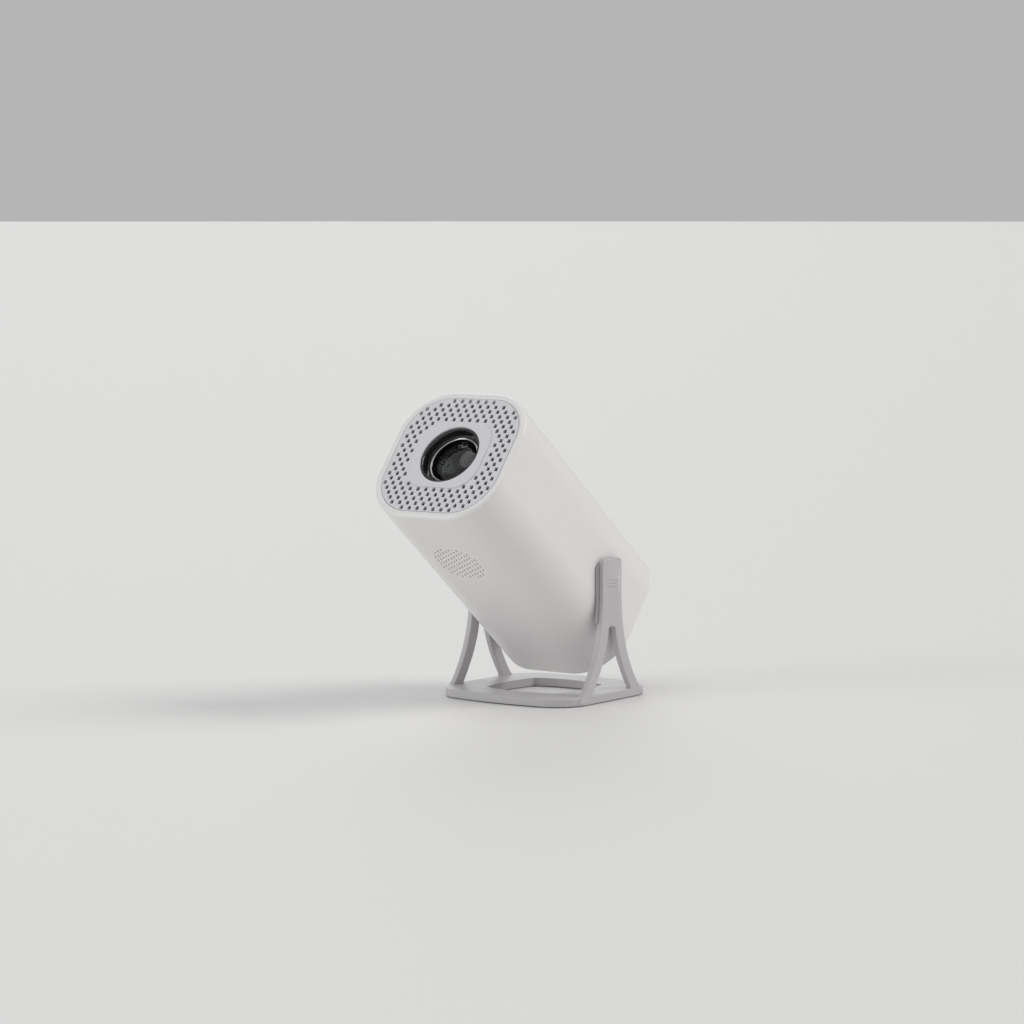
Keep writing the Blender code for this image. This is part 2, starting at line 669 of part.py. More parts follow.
def light_engine(finish, body):
    block = box((-38 * MM, -102 * MM, -28 * MM), (38 * MM, -40 * MM, 28 * MM))
    made = place("optical_block", block, finish["black"], body)
    boolean(made, box((-36 * MM, -100 * MM, -26 * MM), (36 * MM, -30 * MM, 26 * MM)))
    boolean(made, disc(21.5 * MM, -110 * MM, -90 * MM, "Y", LENS_ROUND))
    sheets = {
        "front_fresnel_lens": (93, 91, "glass"), "lcd_panel": (87, 84, "black"),
        "rear_fresnel_lens": (80, 78, "glass"),
    }
    for name, (ahead, behind, look) in sheets.items():
        sheet = box((-33 * MM, -ahead * MM, -21 * MM), (33 * MM, -behind * MM, 21 * MM))
        place(name, sheet, finish[look], body)
    lens("condenser_lens", 24 * MM, -74 * MM, -66 * MM, 5 * MM, 0.5 * MM, finish, body)
    cone = [(25.4, 65), (25.4, 63.8), (9.2, 41.5), (8.2, 41.5), (24.2, 65)]
    profile = [(r * MM, -a * MM) for r, a in cone]
    place("reflector", turned(profile, "Y", LENS_ROUND), finish["chrome"], body)
    lamp = box((-20 * MM, -39.4 * MM, -20 * MM), (20 * MM, -37.4 * MM, 20 * MM))
    led = place("led_module", lamp, finish["led"], body)
    boolean(led, box((-6 * MM, -40.6 * MM, -6 * MM), (6 * MM, -38 * MM, 6 * MM)), "UNION")
    place("heat_sink", heat_sink(), finish["aluminium"], body)


def heat_sink():
    """A plate towards the lamp with upright fins towards the fan."""
    half, base, root, tip = 35.1 * MM, -37.1 * MM, -32.6 * MM, 10 * MM
    fins, thick = 14, 1.8 * MM
    step = (2 * half - thick) / (fins - 1)
    outline = [(half, base), (-half, base)]
    for i in range(fins):
        x = -half + i * step
        outline += [(x, tip), (x + thick, tip)]
        if i < fins - 1:
            outline += [(x + thick, root), (x + step, root)]
    return prism(outline, -29 * MM, 29 * MM, "Z")


def fan(finish, body):
    front, rear = -FAN_FRONT, -FAN_FRONT + FAN_THICK
    duct = box((-31 * MM, 12 * MM, -31 * MM), (31 * MM, front - GAP, 31 * MM))
    made = place("air_duct", duct, finish["black"], body, (0, 0, FAN_UP))
    boolean(made, box((-29.5 * MM, 5 * MM, -29.5 * MM), (29.5 * MM, front + 9 * MM, 29.5 * MM)))
    outline = rounded_rectangle(FAN_HALF, FAN_HALF, 3 * MM, 3)
    made = place("fan_housing", prism(outline, front, rear), finish["black"], body, (0, 0, FAN_UP))
    boolean(made, disc(FAN_R, front - 5 * MM, rear + 5 * MM, "Y", LENS_ROUND))
    spokes = [box((-31 * MM, rear - 2 * MM, -1.5 * MM), (31 * MM, rear - 0.5 * MM, 1.5 * MM))]
    spokes.append(box((-1.5 * MM, rear - 2.2 * MM, -29 * MM), (1.5 * MM, rear - 0.3 * MM, 29 * MM)))
    spokes.append(disc(11 * MM, rear - 2.6 * MM, rear - 0.1 * MM, "Y", 20))
    for spoke in spokes:
        boolean(made, spoke, "UNION")
    hub = disc(11.5 * MM, front + 1 * MM, rear - 3.2 * MM, "Y", 24)
    rotor = place("fan_rotor", hub, finish["black"], body, (0, 0, FAN_UP))
    blades = []
    for i in range(7):
        blade = box((9.5 * MM, -5 * MM, -0.7 * MM), (26.8 * MM, 5 * MM, 0.7 * MM))
        pitch = Matrix.Rotation(math.radians(38), 4, "X")
        spread = Matrix.Rotation(math.tau * i / 7, 4, "Y")
        lift = Matrix.Translation((0, front + 6.5 * MM, 0))
        bmesh.ops.transform(blade, matrix=lift @ spread @ pitch, verts=blade.verts)
        blades.append(blade)
    boolean(rotor, joined(*blades), "UNION")


# ---------------------------------------------------------------- electronics and sound

def electronics(finish, body):
    board = box((-40 * MM, -58 * MM, BOARD_TOP - 1.9 * MM), (40 * MM, 43 * MM, BOARD_TOP - GAP))
    place("main_board", board, finish["board"], body)
    shield = box((-14 * MM, -44 * MM, BOARD_TOP), (10 * MM, -20 * MM, BOARD_TOP + 4 * MM))
    place("processor_shield", shield, finish["steel"], body)
    radio = box((18 * MM, -50 * MM, BOARD_TOP), (32 * MM, -36 * MM, BOARD_TOP + 2.4 * MM))
    place("wifi_module", radio, finish["steel"], body)
    for i, y in enumerate((-12, 2), 1):
        drum = disc(4 * MM, BOARD_TOP, BOARD_TOP + 8 * MM, "Z", 16)
        place(f"capacitor_{i}", drum, finish["black"], body, (-33 * MM, y * MM, 0))
    driver = box((-47.6 * MM, -92 * MM, -16 * MM), (-46 * MM, -28 * MM, 16 * MM))
    place("driver_board", driver, finish["board"], body)


def speaker(finish, body):
    """Basket with its magnet, and the cone inside it, facing the sound outlet."""
    at = (0, -SPEAKER_AT, 0)
    basket = [
        (19.6, -51.6), (19.6, -50.2), (17.6, -50.2), (11, -43), (11, -37), (0, -37), (0, -42.4),
        (8.6, -42.4), (16, -50.6), (17.6, -51.6),
    ]
    profile = [(r * MM, z * MM) for r, z in basket]
    place("speaker_basket", turned(profile, "Z", ROUND), finish["steel"], body, at)
    cone = [(0, -43.6), (6.6, -43.6), (15.4, -51.2), (14.2, -51.4), (6, -45.2), (0, -46.2)]
    profile = [(r * MM, z * MM) for r, z in cone]
    place("speaker_cone", turned(profile, "Z", ROUND), finish["paper"], body, at)


def main():
    clear_scene()
    finish = materials()
    stand = bpy.data.objects.new("stand_axis", None)
    stand.location = (0, PIVOT_Y, 0)
    body = bpy.data.objects.new("tilt_axis", None)
    body.location = (0, PIVOT_Y, PIVOT_Z)
    body.rotation_euler = (-TILT, 0, 0)
    for empty in (stand, body):
        bpy.context.collection.objects.link(empty)
    stand_frame(finish["stand"], stand)
    base_weight(finish["steel"], stand)
    base_fittings(finish, stand)
    hinge_parts(finish, stand, body)
    outer_shell(finish["shell"], body)
    front_plate(finish["plate"], body)
    rear_cover(finish["shell"], body)
    sockets(finish, body)
    rear_fittings(finish, body)
    top_fittings(finish, body)
    lens_parts(finish, body)
    focus_parts(finish, body)
    light_engine(finish, body)
    fan(finish, body)
    electronics(finish, body)
    speaker(finish, body)


main()
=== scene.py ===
"""Looks of a portable projector: casing, lens, stand and small fittings built round the fixed model."""

import json
import math

import bmesh
import bpy
from bpy.props import FloatProperty, FloatVectorProperty, IntProperty, PointerProperty
from mathutils import Matrix, Vector


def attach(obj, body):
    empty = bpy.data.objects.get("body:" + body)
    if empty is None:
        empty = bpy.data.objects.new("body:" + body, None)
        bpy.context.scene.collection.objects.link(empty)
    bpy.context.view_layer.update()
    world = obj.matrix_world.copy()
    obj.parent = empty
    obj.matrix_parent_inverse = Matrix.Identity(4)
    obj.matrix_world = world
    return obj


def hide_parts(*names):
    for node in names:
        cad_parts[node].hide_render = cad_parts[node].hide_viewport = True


bl_info = {
    "name": "Tilting projector",
    "version": (1, 0, 0),
    "blender": (4, 5, 0),
    "location": "View3D > Sidebar > Projector",
    "description": "Builds the finished casing, lens, stand and fittings of a tilting projector",
    "category": "Add Mesh",
}

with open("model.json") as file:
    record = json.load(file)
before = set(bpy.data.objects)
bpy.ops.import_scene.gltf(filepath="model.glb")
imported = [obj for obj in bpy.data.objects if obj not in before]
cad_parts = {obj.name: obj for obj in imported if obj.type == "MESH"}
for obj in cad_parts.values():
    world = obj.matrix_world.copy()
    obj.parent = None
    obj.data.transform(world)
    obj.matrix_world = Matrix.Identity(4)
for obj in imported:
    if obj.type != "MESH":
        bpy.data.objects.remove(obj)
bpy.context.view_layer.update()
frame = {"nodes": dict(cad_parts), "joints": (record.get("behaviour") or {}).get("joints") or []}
MM = 0.001


# ---------------------------------------------------------------- the model's own frames

def joint(name):
    return next(found for found in frame["joints"] if found["name"] == name)


PIVOT = Vector(joint("tilt")["pos_m"])
ACROSS = Vector((1.0, 0.0, 0.0))
REARWARD = -Vector(joint("lens_travel")["axis"]).normalized()
TURN = Matrix((ACROSS, REARWARD, ACROSS.cross(REARWARD))).transposed().to_4x4()
BODY = Matrix.Translation(PIVOT) @ TURN  # -Y out of the lens, +Z to the casing's top
STAND = Matrix.Translation((0.0, PIVOT.y, 0.0))


def measured(node, place=BODY):
    """Lowest and highest corner of a CAD node in the casing's or the stand's own frame."""
    spots = [place.inverted() @ vertex.co for vertex in frame["nodes"][node].data.vertices]
    low = Vector([min(spot[i] for spot in spots) for i in range(3)])
    high = Vector([max(spot[i] for spot in spots) for i in range(3)])
    return low, high


SHELL_LOW, SHELL_HIGH = measured("outer_shell")
HALF_W = SHELL_HIGH.x
HALF_H = SHELL_HIGH.z
FRONT = SHELL_LOW.y
REAR = SHELL_HIGH.y
CORNER = 37.4 * MM
WALL = 2.4 * MM
RIM = 5.2 * MM
FRONT_ROUND = 2.7 * MM
REAR_ROUND = 1.5 * MM
SEAT = 2.2 * MM
PLATE_DROP = 0.45 * MM
PLATE_LOW, PLATE_HIGH = measured("front_plate")
COVER_LOW, COVER_HIGH = measured("rear_cover")
COVER_RIM = HALF_W - COVER_HIGH.x - 0.3 * MM
BARREL_LOW, BARREL_HIGH = measured("lens_barrel")
BARREL_R = BARREL_HIGH.x
LENS_HOLE_R = BARREL_R + 0.4 * MM
WHEEL_LOW, WHEEL_HIGH = measured("focus_wheel")
BUTTON_LOW, BUTTON_HIGH = measured("power_button")
LIGHT_LOW, LIGHT_HIGH = measured("status_light")
FAN_LOW, FAN_HIGH = measured("fan_rotor")
SPEAKER_LOW, SPEAKER_HIGH = measured("speaker_basket")

FRAME_LOW, FRAME_HIGH = measured("stand_frame", STAND)
BASE_HALF_W = FRAME_HIGH.x
BASE_TOP = 6.6 * MM
ARM_TOP = FRAME_HIGH.z
ARM_IN = HALF_W + 1.2 * MM
ARM_OUT = BASE_HALF_W - 0.05 * MM
HINGE_UP = PIVOT.z


# ---------------------------------------------------------------- settings

def length(name, description, default):
    return FloatProperty(
        name=name, description=description, default=default, min=0.0, unit="LENGTH", precision=5,
    )


def colour(name, description, default):
    return FloatVectorProperty(
        name=name, description=description, default=default, size=3, min=0.0, max=1.0, subtype="COLOR",
    )


class CasingSettings(bpy.types.PropertyGroup):
    """Sizes and colours of the casing and its front plate."""

    shell_colour: colour("Shell colour", "Colour of the satin shell", (0.80, 0.79, 0.785))
    plate_colour: colour("Plate colour", "Colour of the front plate", (0.69, 0.685, 0.715))
    cover_colour: colour("Cover colour", "Colour of the rear cover", (0.60, 0.595, 0.60))
    hole_width: length("Hole width", "Width of a hole in the front plate", 2.75 * MM)
    hole_height: length("Hole height", "Height of a hole in the front plate", 3.3 * MM)
    hole_pitch: length("Hole pitch", "Distance between holes in a row", 7.0 * MM)
    row_pitch: length("Row pitch", "Distance between rows of holes", 4.05 * MM)
    sound_width: length("Sound slot width", "Width of a slot in the sound outlet", 1.25 * MM)
    sound_length: length("Sound slot length", "Length of a slot in the sound outlet", 2.3 * MM)
    sound_pitch: length("Sound pitch", "Distance between columns of sound slots", 3.5 * MM)
    sound_radius: length("Sound radius", "Radius of the sound outlet", 20.0 * MM)


class StandSettings(bpy.types.PropertyGroup):
    """Sizes and colours of the stand."""

    stand_colour: colour("Stand colour", "Colour of the base and arms", (0.50, 0.485, 0.495))
    pad_colour: colour("Pad colour", "Colour of the pads between arms and casing", (0.43, 0.42, 0.43))
    arm_round: length("Arm round", "Rounding of the arms' edges", 0.8 * MM)
    base_round: length("Base round", "Rounding of the base's top edge", 1.2 * MM)
    groove_width: length("Groove width", "Width of the fine lines on the arms", 0.5 * MM)
    groove_depth: length("Groove depth", "Depth of the fine lines on the arms", 0.3 * MM)
    groove_count: IntProperty(name="Groove count", description="Fine lines on each arm", default=3, min=0)


class LensSettings(bpy.types.PropertyGroup):
    """Finish of the lens."""

    barrel_colour: colour("Barrel colour", "Colour of the glossy barrel", (0.012, 0.012, 0.013))
    glass_colour: colour("Glass colour", "Tint of the front lens", (0.36, 0.38, 0.39))
    dome: length("Dome", "How far the front lens bulges", 5.2 * MM)


class StageSettings(bpy.types.PropertyGroup):
    """Floor, lights and camera."""

    floor_colour: colour("Floor colour", "Colour of the floor", (0.74, 0.735, 0.73))
    ambient: FloatProperty(
        name="Ambient", description="Strength of the light from all round", default=0.46, min=0.0,
    )
    key_strength: FloatProperty(name="Key", description="Strength of the main light", default=1.22, min=0.0)
    fill_strength: FloatProperty(
        name="Fill", description="Strength of the front light", default=0.75, min=0.0,
    )
    top_strength: FloatProperty(name="Top", description="Strength of the light above", default=0.4, min=0.0)
    back_strength: FloatProperty(name="Back", description="Strength of the rear light", default=0.4, min=0.0)
    azimuth: FloatProperty(
        name="Azimuth", description="Camera's way round the object", default=math.radians(36.183),
        subtype="ANGLE",
    )
    elevation: FloatProperty(
        name="Elevation", description="Camera's height angle", default=math.radians(5.046), subtype="ANGLE",
    )
    distance: length("Distance", "Camera's distance from its target", 2.61635)
    focal_length: FloatProperty(
        name="Focal length", description="Of the camera's lens", default=123.95, min=1.0,
    )


# ---------------------------------------------------------------- outlines

def arc(centre, radius, start, end, steps):
    """Points on a circle from one angle in degrees to another, both included."""
    found = []
    for i in range(steps + 1):
        turn = math.radians(start + (end - start) * i / steps)
        found.append((centre[0] + radius * math.cos(turn), centre[1] + radius * math.sin(turn)))
    return found


def circle(radius, sides=32, centre=(0.0, 0.0)):
    return arc(centre, radius, 0, 360 * (sides - 1) / sides, sides - 1)


def rounded_rectangle(half_w, half_h, corner, steps=6, side_points=0):
    """Counter-clockwise outline, with extra points on its straight sides if asked for."""
    found = []
    for sx, sy, start in ((1, 1, 0), (-1, 1, 90), (-1, -1, 180), (1, -1, 270)):
        centre = (sx * (half_w - corner), sy * (half_h - corner))
        found += arc(centre, corner, start, start + 90, steps)
    if not side_points:
        return found
    filled = []
    for i, point in enumerate(found):
        filled.append(point)
        if (i + 1) % (steps + 1) == 0:
            following = Vector(found[(i + 1) % len(found)])
            for k in range(1, side_points + 1):
                filled.append(tuple(Vector(point).lerp(following, k / (side_points + 1))))
    return filled


def bowed(start, end, rise, steps):
    """Points from start up to but not including end, bowed to the right of the way by `rise`."""
    along = Vector(end) - Vector(start)
    side = Vector((along.y, -along.x)).normalized()
    found = []
    for i in range(steps):
        t = i / steps
        found.append(tuple(Vector(start) + along * t + side * rise * 4 * t * (1 - t)))
    return found


def grown(points, distance):
    """A counter-clockwise outline moved outwards by `distance`, point by point."""
    found = []
    for i, point in enumerate(points):
        before = (Vector(point) - Vector(points[i - 1])).normalized()
        after = (Vector(points[(i + 1) % len(points)]) - Vector(point)).normalized()
        out = Vector((before.y + after.y, -before.x - after.x))
        reach = 2 * distance / max(out.length_squared, 1.0)
        found.append(tuple(Vector(point) + out * reach))
    return found


def section(less, steps=24):
    """The casing's outline made smaller by `less` all round."""
    return rounded_rectangle(HALF_W - less, HALF_H - less, CORNER - less, steps)


def inside_section(x, z, less):
    """Whether a point across the casing is inside its outline made smaller by `less`."""
    return inside_rounded(x, z, HALF_W - less, HALF_H - less, CORNER - less)


def inside_rounded(x, z, half_w, half_h, corner):
    across = max(abs(x) - (half_w - corner), 0.0)
    up = max(abs(z) - (half_h - corner), 0.0)
    return math.hypot(across, up) < corner


# ---------------------------------------------------------------- meshes

def spot(along, point, axis):
    p, q = point
    return {"X": (along, p, q), "Y": (p, along, q), "Z": (p, q, along)}[axis]


def loft(rings, axis="Y", loop=False):
    """A solid through equal outlines, each (distance along, points); a loop has no end faces."""
    bm = bmesh.new()
    made = [[bm.verts.new(spot(along, point, axis)) for point in points] for along, points in rings]
    pairs = list(zip(made, made[1:]))
    if loop:
        pairs.append((made[-1], made[0]))
    for low, high in pairs:
        for i in range(len(low)):
            j = (i + 1) % len(low)
            bm.faces.new((low[i], low[j], high[j], high[i]))
    if not loop:
        bm.faces.new(made[0])
        bm.faces.new(made[-1])
    bmesh.ops.recalc_face_normals(bm, faces=bm.faces)
    return bm


def prism(points, low, high, axis="Y"):
    return loft([(low, points), (high, points)], axis)


def rounded_prism(points, low, high, radius, axis="Y", steps=4):
    """A prism whose two ends are rounded off; the outline is counter-clockwise."""
    rings = []
    for end, way in ((low, 1), (high, -1)):
        turns = [math.radians(90 * i / steps) for i in range(steps + 1)]
        for turn in turns if way > 0 else reversed(turns):
            less = radius * (1 - math.sin(turn))
            rings.append((end + way * radius * (1 - math.cos(turn)), grown(points, -less)))
    return loft(rings, axis)


def turned(profile, axis="Y", sides=96):
    """A closed profile of (radius, distance along) turned round the axis."""
    bm = bmesh.new()
    corners = [bm.verts.new((radius, 0.0, along)) for radius, along in profile]
    edges = []
    for i, corner in enumerate(corners):
        following = corners[(i + 1) % len(corners)]
        if corner.co.x > 1e-9 or following.co.x > 1e-9:
            edges.append(bm.edges.new((corner, following)))
    bmesh.ops.spin(
        bm, geom=corners + edges, cent=(0, 0, 0), axis=(0, 0, 1),
        angle=math.tau, steps=sides, use_merge=True,
    )
    bmesh.ops.remove_doubles(bm, verts=bm.verts, dist=1e-7)
    turn = {
        "X": Matrix.Rotation(math.radians(90), 4, "Y"),
        "Y": Matrix.Rotation(math.radians(-90), 4, "X"),
        "Z": Matrix.Identity(4),
    }[axis]
    bmesh.ops.transform(bm, matrix=turn, verts=bm.verts)
    bmesh.ops.recalc_face_normals(bm, faces=bm.faces)
    return bm


def disc(radius, low, high, axis="Y", sides=48):
    return turned([(0.0, low), (radius, low), (radius, high), (0.0, high)], axis, sides)


def moved(bm, x=0.0, y=0.0, z=0.0):
    bmesh.ops.translate(bm, vec=(x, y, z), verts=bm.verts)
    return bm


def joined(parts):
    """One bmesh of several that don't touch."""
    bm = bmesh.new()
    for part in parts:
        mesh = bpy.data.meshes.new("part")
        part.to_mesh(mesh)
        part.free()
        bm.from_mesh(mesh)
        bpy.data.meshes.remove(mesh)
    return bm


def new_object(name, bm, place):
    mesh = bpy.data.meshes.new(name)
    bm.to_mesh(mesh)
    bm.free()
    made = bpy.data.objects.new(name, mesh)
    bpy.context.scene.collection.objects.link(made)
    made.matrix_world = place
    return made


def boolean(target, bm, operation="DIFFERENCE"):
    """Cut a bmesh from an object, or join it on, for good."""
    helper = new_object("helper", bm, target.matrix_world)
    modifier = target.modifiers.new(operation.title(), "BOOLEAN")
    modifier.operation = operation
    modifier.solver = "EXACT"
    modifier.object = helper
    evaluated = target.evaluated_get(bpy.context.evaluated_depsgraph_get())
    before, result = target.data, bpy.data.meshes.new_from_object(evaluated)
    target.modifiers.clear()
    target.data = result
    result.name = target.name
    bpy.data.meshes.remove(before)
    spare = helper.data
    bpy.data.objects.remove(helper)
    bpy.data.meshes.remove(spare)
    if not result.polygons:
        raise RuntimeError(f"{target.name}: a Boolean left nothing")


def piece(name, bm, place=BODY, cuts=(), additions=()):
    """A named object of a bmesh, joined with the additions and then less the cuts."""
    made = new_object(name, bm, place)
    for addition in additions:
        boolean(made, addition, "UNION")
    for cut in cuts:
        boolean(made, cut)
    return made


def finished(made, material, body, slot, *nodes, sharp=32.0):
    """Fix a piece where it stands, and give it its material, shading and place in the model."""
    made.data.transform(made.matrix_world)
    made.matrix_world = Matrix.Identity(4)
    made.data.materials.clear()
    made.data.materials.append(material)
    made.data.shade_smooth()
    made.data.set_sharp_from_angle(angle=math.radians(sharp))
    weighted = made.modifiers.new("Even shading", "WEIGHTED_NORMAL")
    weighted.keep_sharp = True
    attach(made, body)
    if nodes:
        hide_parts(*nodes)
    return made


# ---------------------------------------------------------------- shader groups

def group(name, inputs, outputs):
    """A new shader group; inputs are (name, kind, value) and outputs are (name, kind)."""
    made = bpy.data.node_groups.new(name, "ShaderNodeTree")
    for label, kind, value in inputs:
        socket = made.interface.new_socket(label, in_out="INPUT", socket_type=kind)
        socket.default_value = value
    for label, kind in outputs:
        made.interface.new_socket(label, in_out="OUTPUT", socket_type=kind)
    return made, made.nodes.new("NodeGroupInput"), made.nodes.new("NodeGroupOutput")


def node(tree, kind, **settings):
    """A node, with its properties and its input values set by name."""
    made = tree.nodes.new(kind)
    for name, value in settings.items():
        if hasattr(made, name):
            setattr(made, name, value)
        else:
            made.inputs[name.replace("_", " ")].default_value = value
    return made


def noise(tree, coordinates, scale, detail=4.0):
    made = node(tree, "ShaderNodeTexNoise", Detail=detail)
    tree.links.new(coordinates, made.inputs["Vector"])
    tree.links.new(scale, made.inputs["Scale"])
    return made.outputs["Fac"]


def maths(tree, operation, first, second):
    made = tree.nodes.new("ShaderNodeMath")
    made.operation = operation
    for place, value in enumerate((first, second)):
        if isinstance(value, float):
            made.inputs[place].default_value = value
        else:
            tree.links.new(value, made.inputs[place])
    return made.outputs[0]


def centred(tree, value, amount):
    """Turn a value round 0.5 into one round 1, varying by `amount`."""
    swing = maths(tree, "MULTIPLY", maths(tree, "SUBTRACT", value, 0.5), amount)
    return maths(tree, "ADD", swing, 1.0)


def scaled_colour(tree, tint, factor):
    made = tree.nodes.new("ShaderNodeVectorMath")
    made.operation = "SCALE"
    tree.links.new(tint, made.inputs[0])
    tree.links.new(factor, made.inputs["Scale"])
    return made.outputs[0]


def moulded_group():
    """Soft patches, fine speckle and moulded grain of a plastic part, with painted light on sharp edges and
    painted shade in creases.
    """
    tree, given, out = group(
        "Moulded surface",
        [
            ("Colour", "NodeSocketColor", (0.8, 0.8, 0.8, 1.0)), ("Patch scale", "NodeSocketFloat", 30.0),
            ("Patch tone", "NodeSocketFloat", 0.05), ("Speckle scale", "NodeSocketFloat", 3000.0),
            ("Speckle tone", "NodeSocketFloat", 0.05), ("Roughness", "NodeSocketFloat", 0.4),
            ("Roughness change", "NodeSocketFloat", 0.2), ("Grain scale", "NodeSocketFloat", 1500.0),
            ("Painted edge light and shade", "NodeSocketFloat", 0.0),
        ],
        [("Colour", "NodeSocketColor"), ("Roughness", "NodeSocketFloat"), ("Height", "NodeSocketFloat")],
    )
    where = tree.nodes.new("ShaderNodeTexCoord").outputs["Object"]
    patches = noise(tree, where, given.outputs["Patch scale"])
    speckle = noise(tree, where, given.outputs["Speckle scale"], 1.0)
    grain = noise(tree, where, given.outputs["Grain scale"], 2.0)
    tone = maths(
        tree, "MULTIPLY", centred(tree, patches, given.outputs["Patch tone"]),
        centred(tree, speckle, given.outputs["Speckle tone"]),
    )
    # Painted light and shade: pointiness lightens the colour on sharp edges and darkens it in creases and
    # recesses.
    edge = maths(tree, "SUBTRACT", tree.nodes.new("ShaderNodeNewGeometry").outputs["Pointiness"], 0.5)
    edge = maths(tree, "ADD", maths(tree, "MULTIPLY", edge, given.outputs["Painted edge light and shade"]), 1.0)
    tinted = scaled_colour(tree, given.outputs["Colour"], maths(tree, "MULTIPLY", tone, edge))
    change = centred(tree, patches, given.outputs["Roughness change"])
    rough = maths(tree, "MULTIPLY", given.outputs["Roughness"], change)
    tree.links.new(tinted, out.inputs["Colour"])
    tree.links.new(rough, out.inputs["Roughness"])
    tree.links.new(grain, out.inputs["Height"])
    return tree


def brushed_group():
    """Fine lines along one direction, and the dull patches of handled metal."""
    tree, given, out = group(
        "Brushed metal",
        [
            ("Colour", "NodeSocketColor", (0.7, 0.7, 0.7, 1.0)),
            ("Stretch", "NodeSocketVector", (1.0, 1.0, 1.0)),
            ("Line scale", "NodeSocketFloat", 900.0), ("Tone", "NodeSocketFloat", 0.2),
            ("Roughness", "NodeSocketFloat", 0.35), ("Roughness change", "NodeSocketFloat", 0.4),
        ],
        [("Colour", "NodeSocketColor"), ("Roughness", "NodeSocketFloat"), ("Height", "NodeSocketFloat")],
    )
    where = tree.nodes.new("ShaderNodeTexCoord").outputs["Object"]
    stretched = tree.nodes.new("ShaderNodeVectorMath")
    stretched.operation = "MULTIPLY"
    tree.links.new(where, stretched.inputs[0])
    tree.links.new(given.outputs["Stretch"], stretched.inputs[1])
    lines = noise(tree, stretched.outputs[0], given.outputs["Line scale"], 3.0)
    tinted = scaled_colour(tree, given.outputs["Colour"], centred(tree, lines, given.outputs["Tone"]))
    rough = maths(
        tree, "MULTIPLY", given.outputs["Roughness"], centred(tree, lines, given.outputs["Roughness change"]),
    )
    tree.links.new(tinted, out.inputs["Colour"])
    tree.links.new(rough, out.inputs["Roughness"])
    tree.links.new(lines, out.inputs["Height"])
    return tree


def woven_group():
    """A plain weave of fine threads across the casing's width and height."""
    tree, given, out = group(
        "Woven gauze",
        [("Colour", "NodeSocketColor", (0.02, 0.02, 0.02, 1.0)), ("Thread scale", "NodeSocketFloat", 900.0)],
        [("Colour", "NodeSocketColor"), ("Height", "NodeSocketFloat")],
    )
    where = tree.nodes.new("ShaderNodeTexCoord").outputs["Object"]
    waves = []
    for direction in ("X", "Z"):
        wave = node(tree, "ShaderNodeTexWave", bands_direction=direction, Distortion=0.4)
        tree.links.new(where, wave.inputs["Vector"])
        tree.links.new(given.outputs["Thread scale"], wave.inputs["Scale"])
        waves.append(wave.outputs["Fac"])
    weave = maths(tree, "MULTIPLY", waves[0], waves[1])
    shade = maths(tree, "ADD", maths(tree, "MULTIPLY", weave, 0.9), 0.4)
    tree.links.new(scaled_colour(tree, given.outputs["Colour"], shade), out.inputs["Colour"])
    tree.links.new(weave, out.inputs["Height"])
    return tree


# ---------------------------------------------------------------- materials

def shared(name, make):
    """The node group of this name, made the first time it is asked for."""
    return bpy.data.node_groups.get(name) or make()


def surface(name, tree, values, bump, plain):
    """A material whose colour, roughness and grain come from a group, with plain values on the shader."""
    found = bpy.data.materials.get(name)
    if found:
        return found
    made = bpy.data.materials.new(name)
    made.use_nodes = True
    nodes, links = made.node_tree.nodes, made.node_tree.links
    shader = nodes["Principled BSDF"]
    effect = nodes.new("ShaderNodeGroup")
    effect.node_tree = tree
    for label, value in values.items():
        effect.inputs[label].default_value = (*value, 1.0) if label == "Colour" else value
    for label, target in (("Colour", "Base Color"), ("Roughness", "Roughness")):
        if label in effect.outputs:
            links.new(effect.outputs[label], shader.inputs[target])
    if bump:
        relief = nodes.new("ShaderNodeBump")
        relief.inputs["Strength"].default_value = bump[0]
        relief.inputs["Distance"].default_value = bump[1]
        links.new(effect.outputs["Height"], relief.inputs["Height"])
        links.new(relief.outputs["Normal"], shader.inputs["Normal"])
    for label, value in plain.items():
        shader.inputs[label].default_value = value
    return made


def moulded(name, tint, roughness, bump=(0.15, 0.02 * MM), patch_tone=0.04, speckle_tone=0.04, edge=0.0,
            grain=1500.0, **plain):
    # edge sets the strength of the painted edge highlight and the painted crease shade.
    values = {
        "Colour": tint, "Roughness": roughness, "Patch tone": patch_tone, "Speckle tone": speckle_tone,
        "Grain scale": grain, "Painted edge light and shade": edge,
    }
    plain = {label.replace("_", " "): value for label, value in plain.items()}
    return surface(name, shared("Moulded surface", moulded_group), values, bump, plain)


def metal(name, tint, roughness, stretch=(1.0, 1.0, 12.0), tone=0.15, bump=(0.1, 0.01 * MM)):
    values = {"Colour": tint, "Roughness": roughness, "Stretch": stretch, "Tone": tone}
    return surface(name, shared("Brushed metal", brushed_group), values, bump, {"Metallic": 1.0})


def shell_finish():
    tint = bpy.context.scene.projector_casing.shell_colour
    return moulded(
        "satin_shell", tint, 0.36, patch_tone=0.02, speckle_tone=0.05, bump=(0.12, 0.012 * MM), grain=2600.0,
        Coat_Weight=0.12, Coat_Roughness=0.25,
    )


def plate_finish():
    tint = bpy.context.scene.projector_casing.plate_colour
    return moulded("satin_plate", tint, 0.42, patch_tone=0.02, speckle_tone=0.05, grain=2600.0)


def cover_finish():
    tint = bpy.context.scene.projector_casing.cover_colour
    # edge=1.2 paints light on the cover's sharp edges and shade in its slots and wells.
    return moulded("grained_cover", tint, 0.55, bump=(0.35, 0.05 * MM), edge=1.2)


def stand_finish():
    tint = bpy.context.scene.projector_stand.stand_colour
    # edge=0.8 paints light on the stand's sharp edges and shade in its creases.
    return moulded("grained_stand", tint, 0.46, bump=(0.25, 0.035 * MM), patch_tone=0.05, edge=0.8)


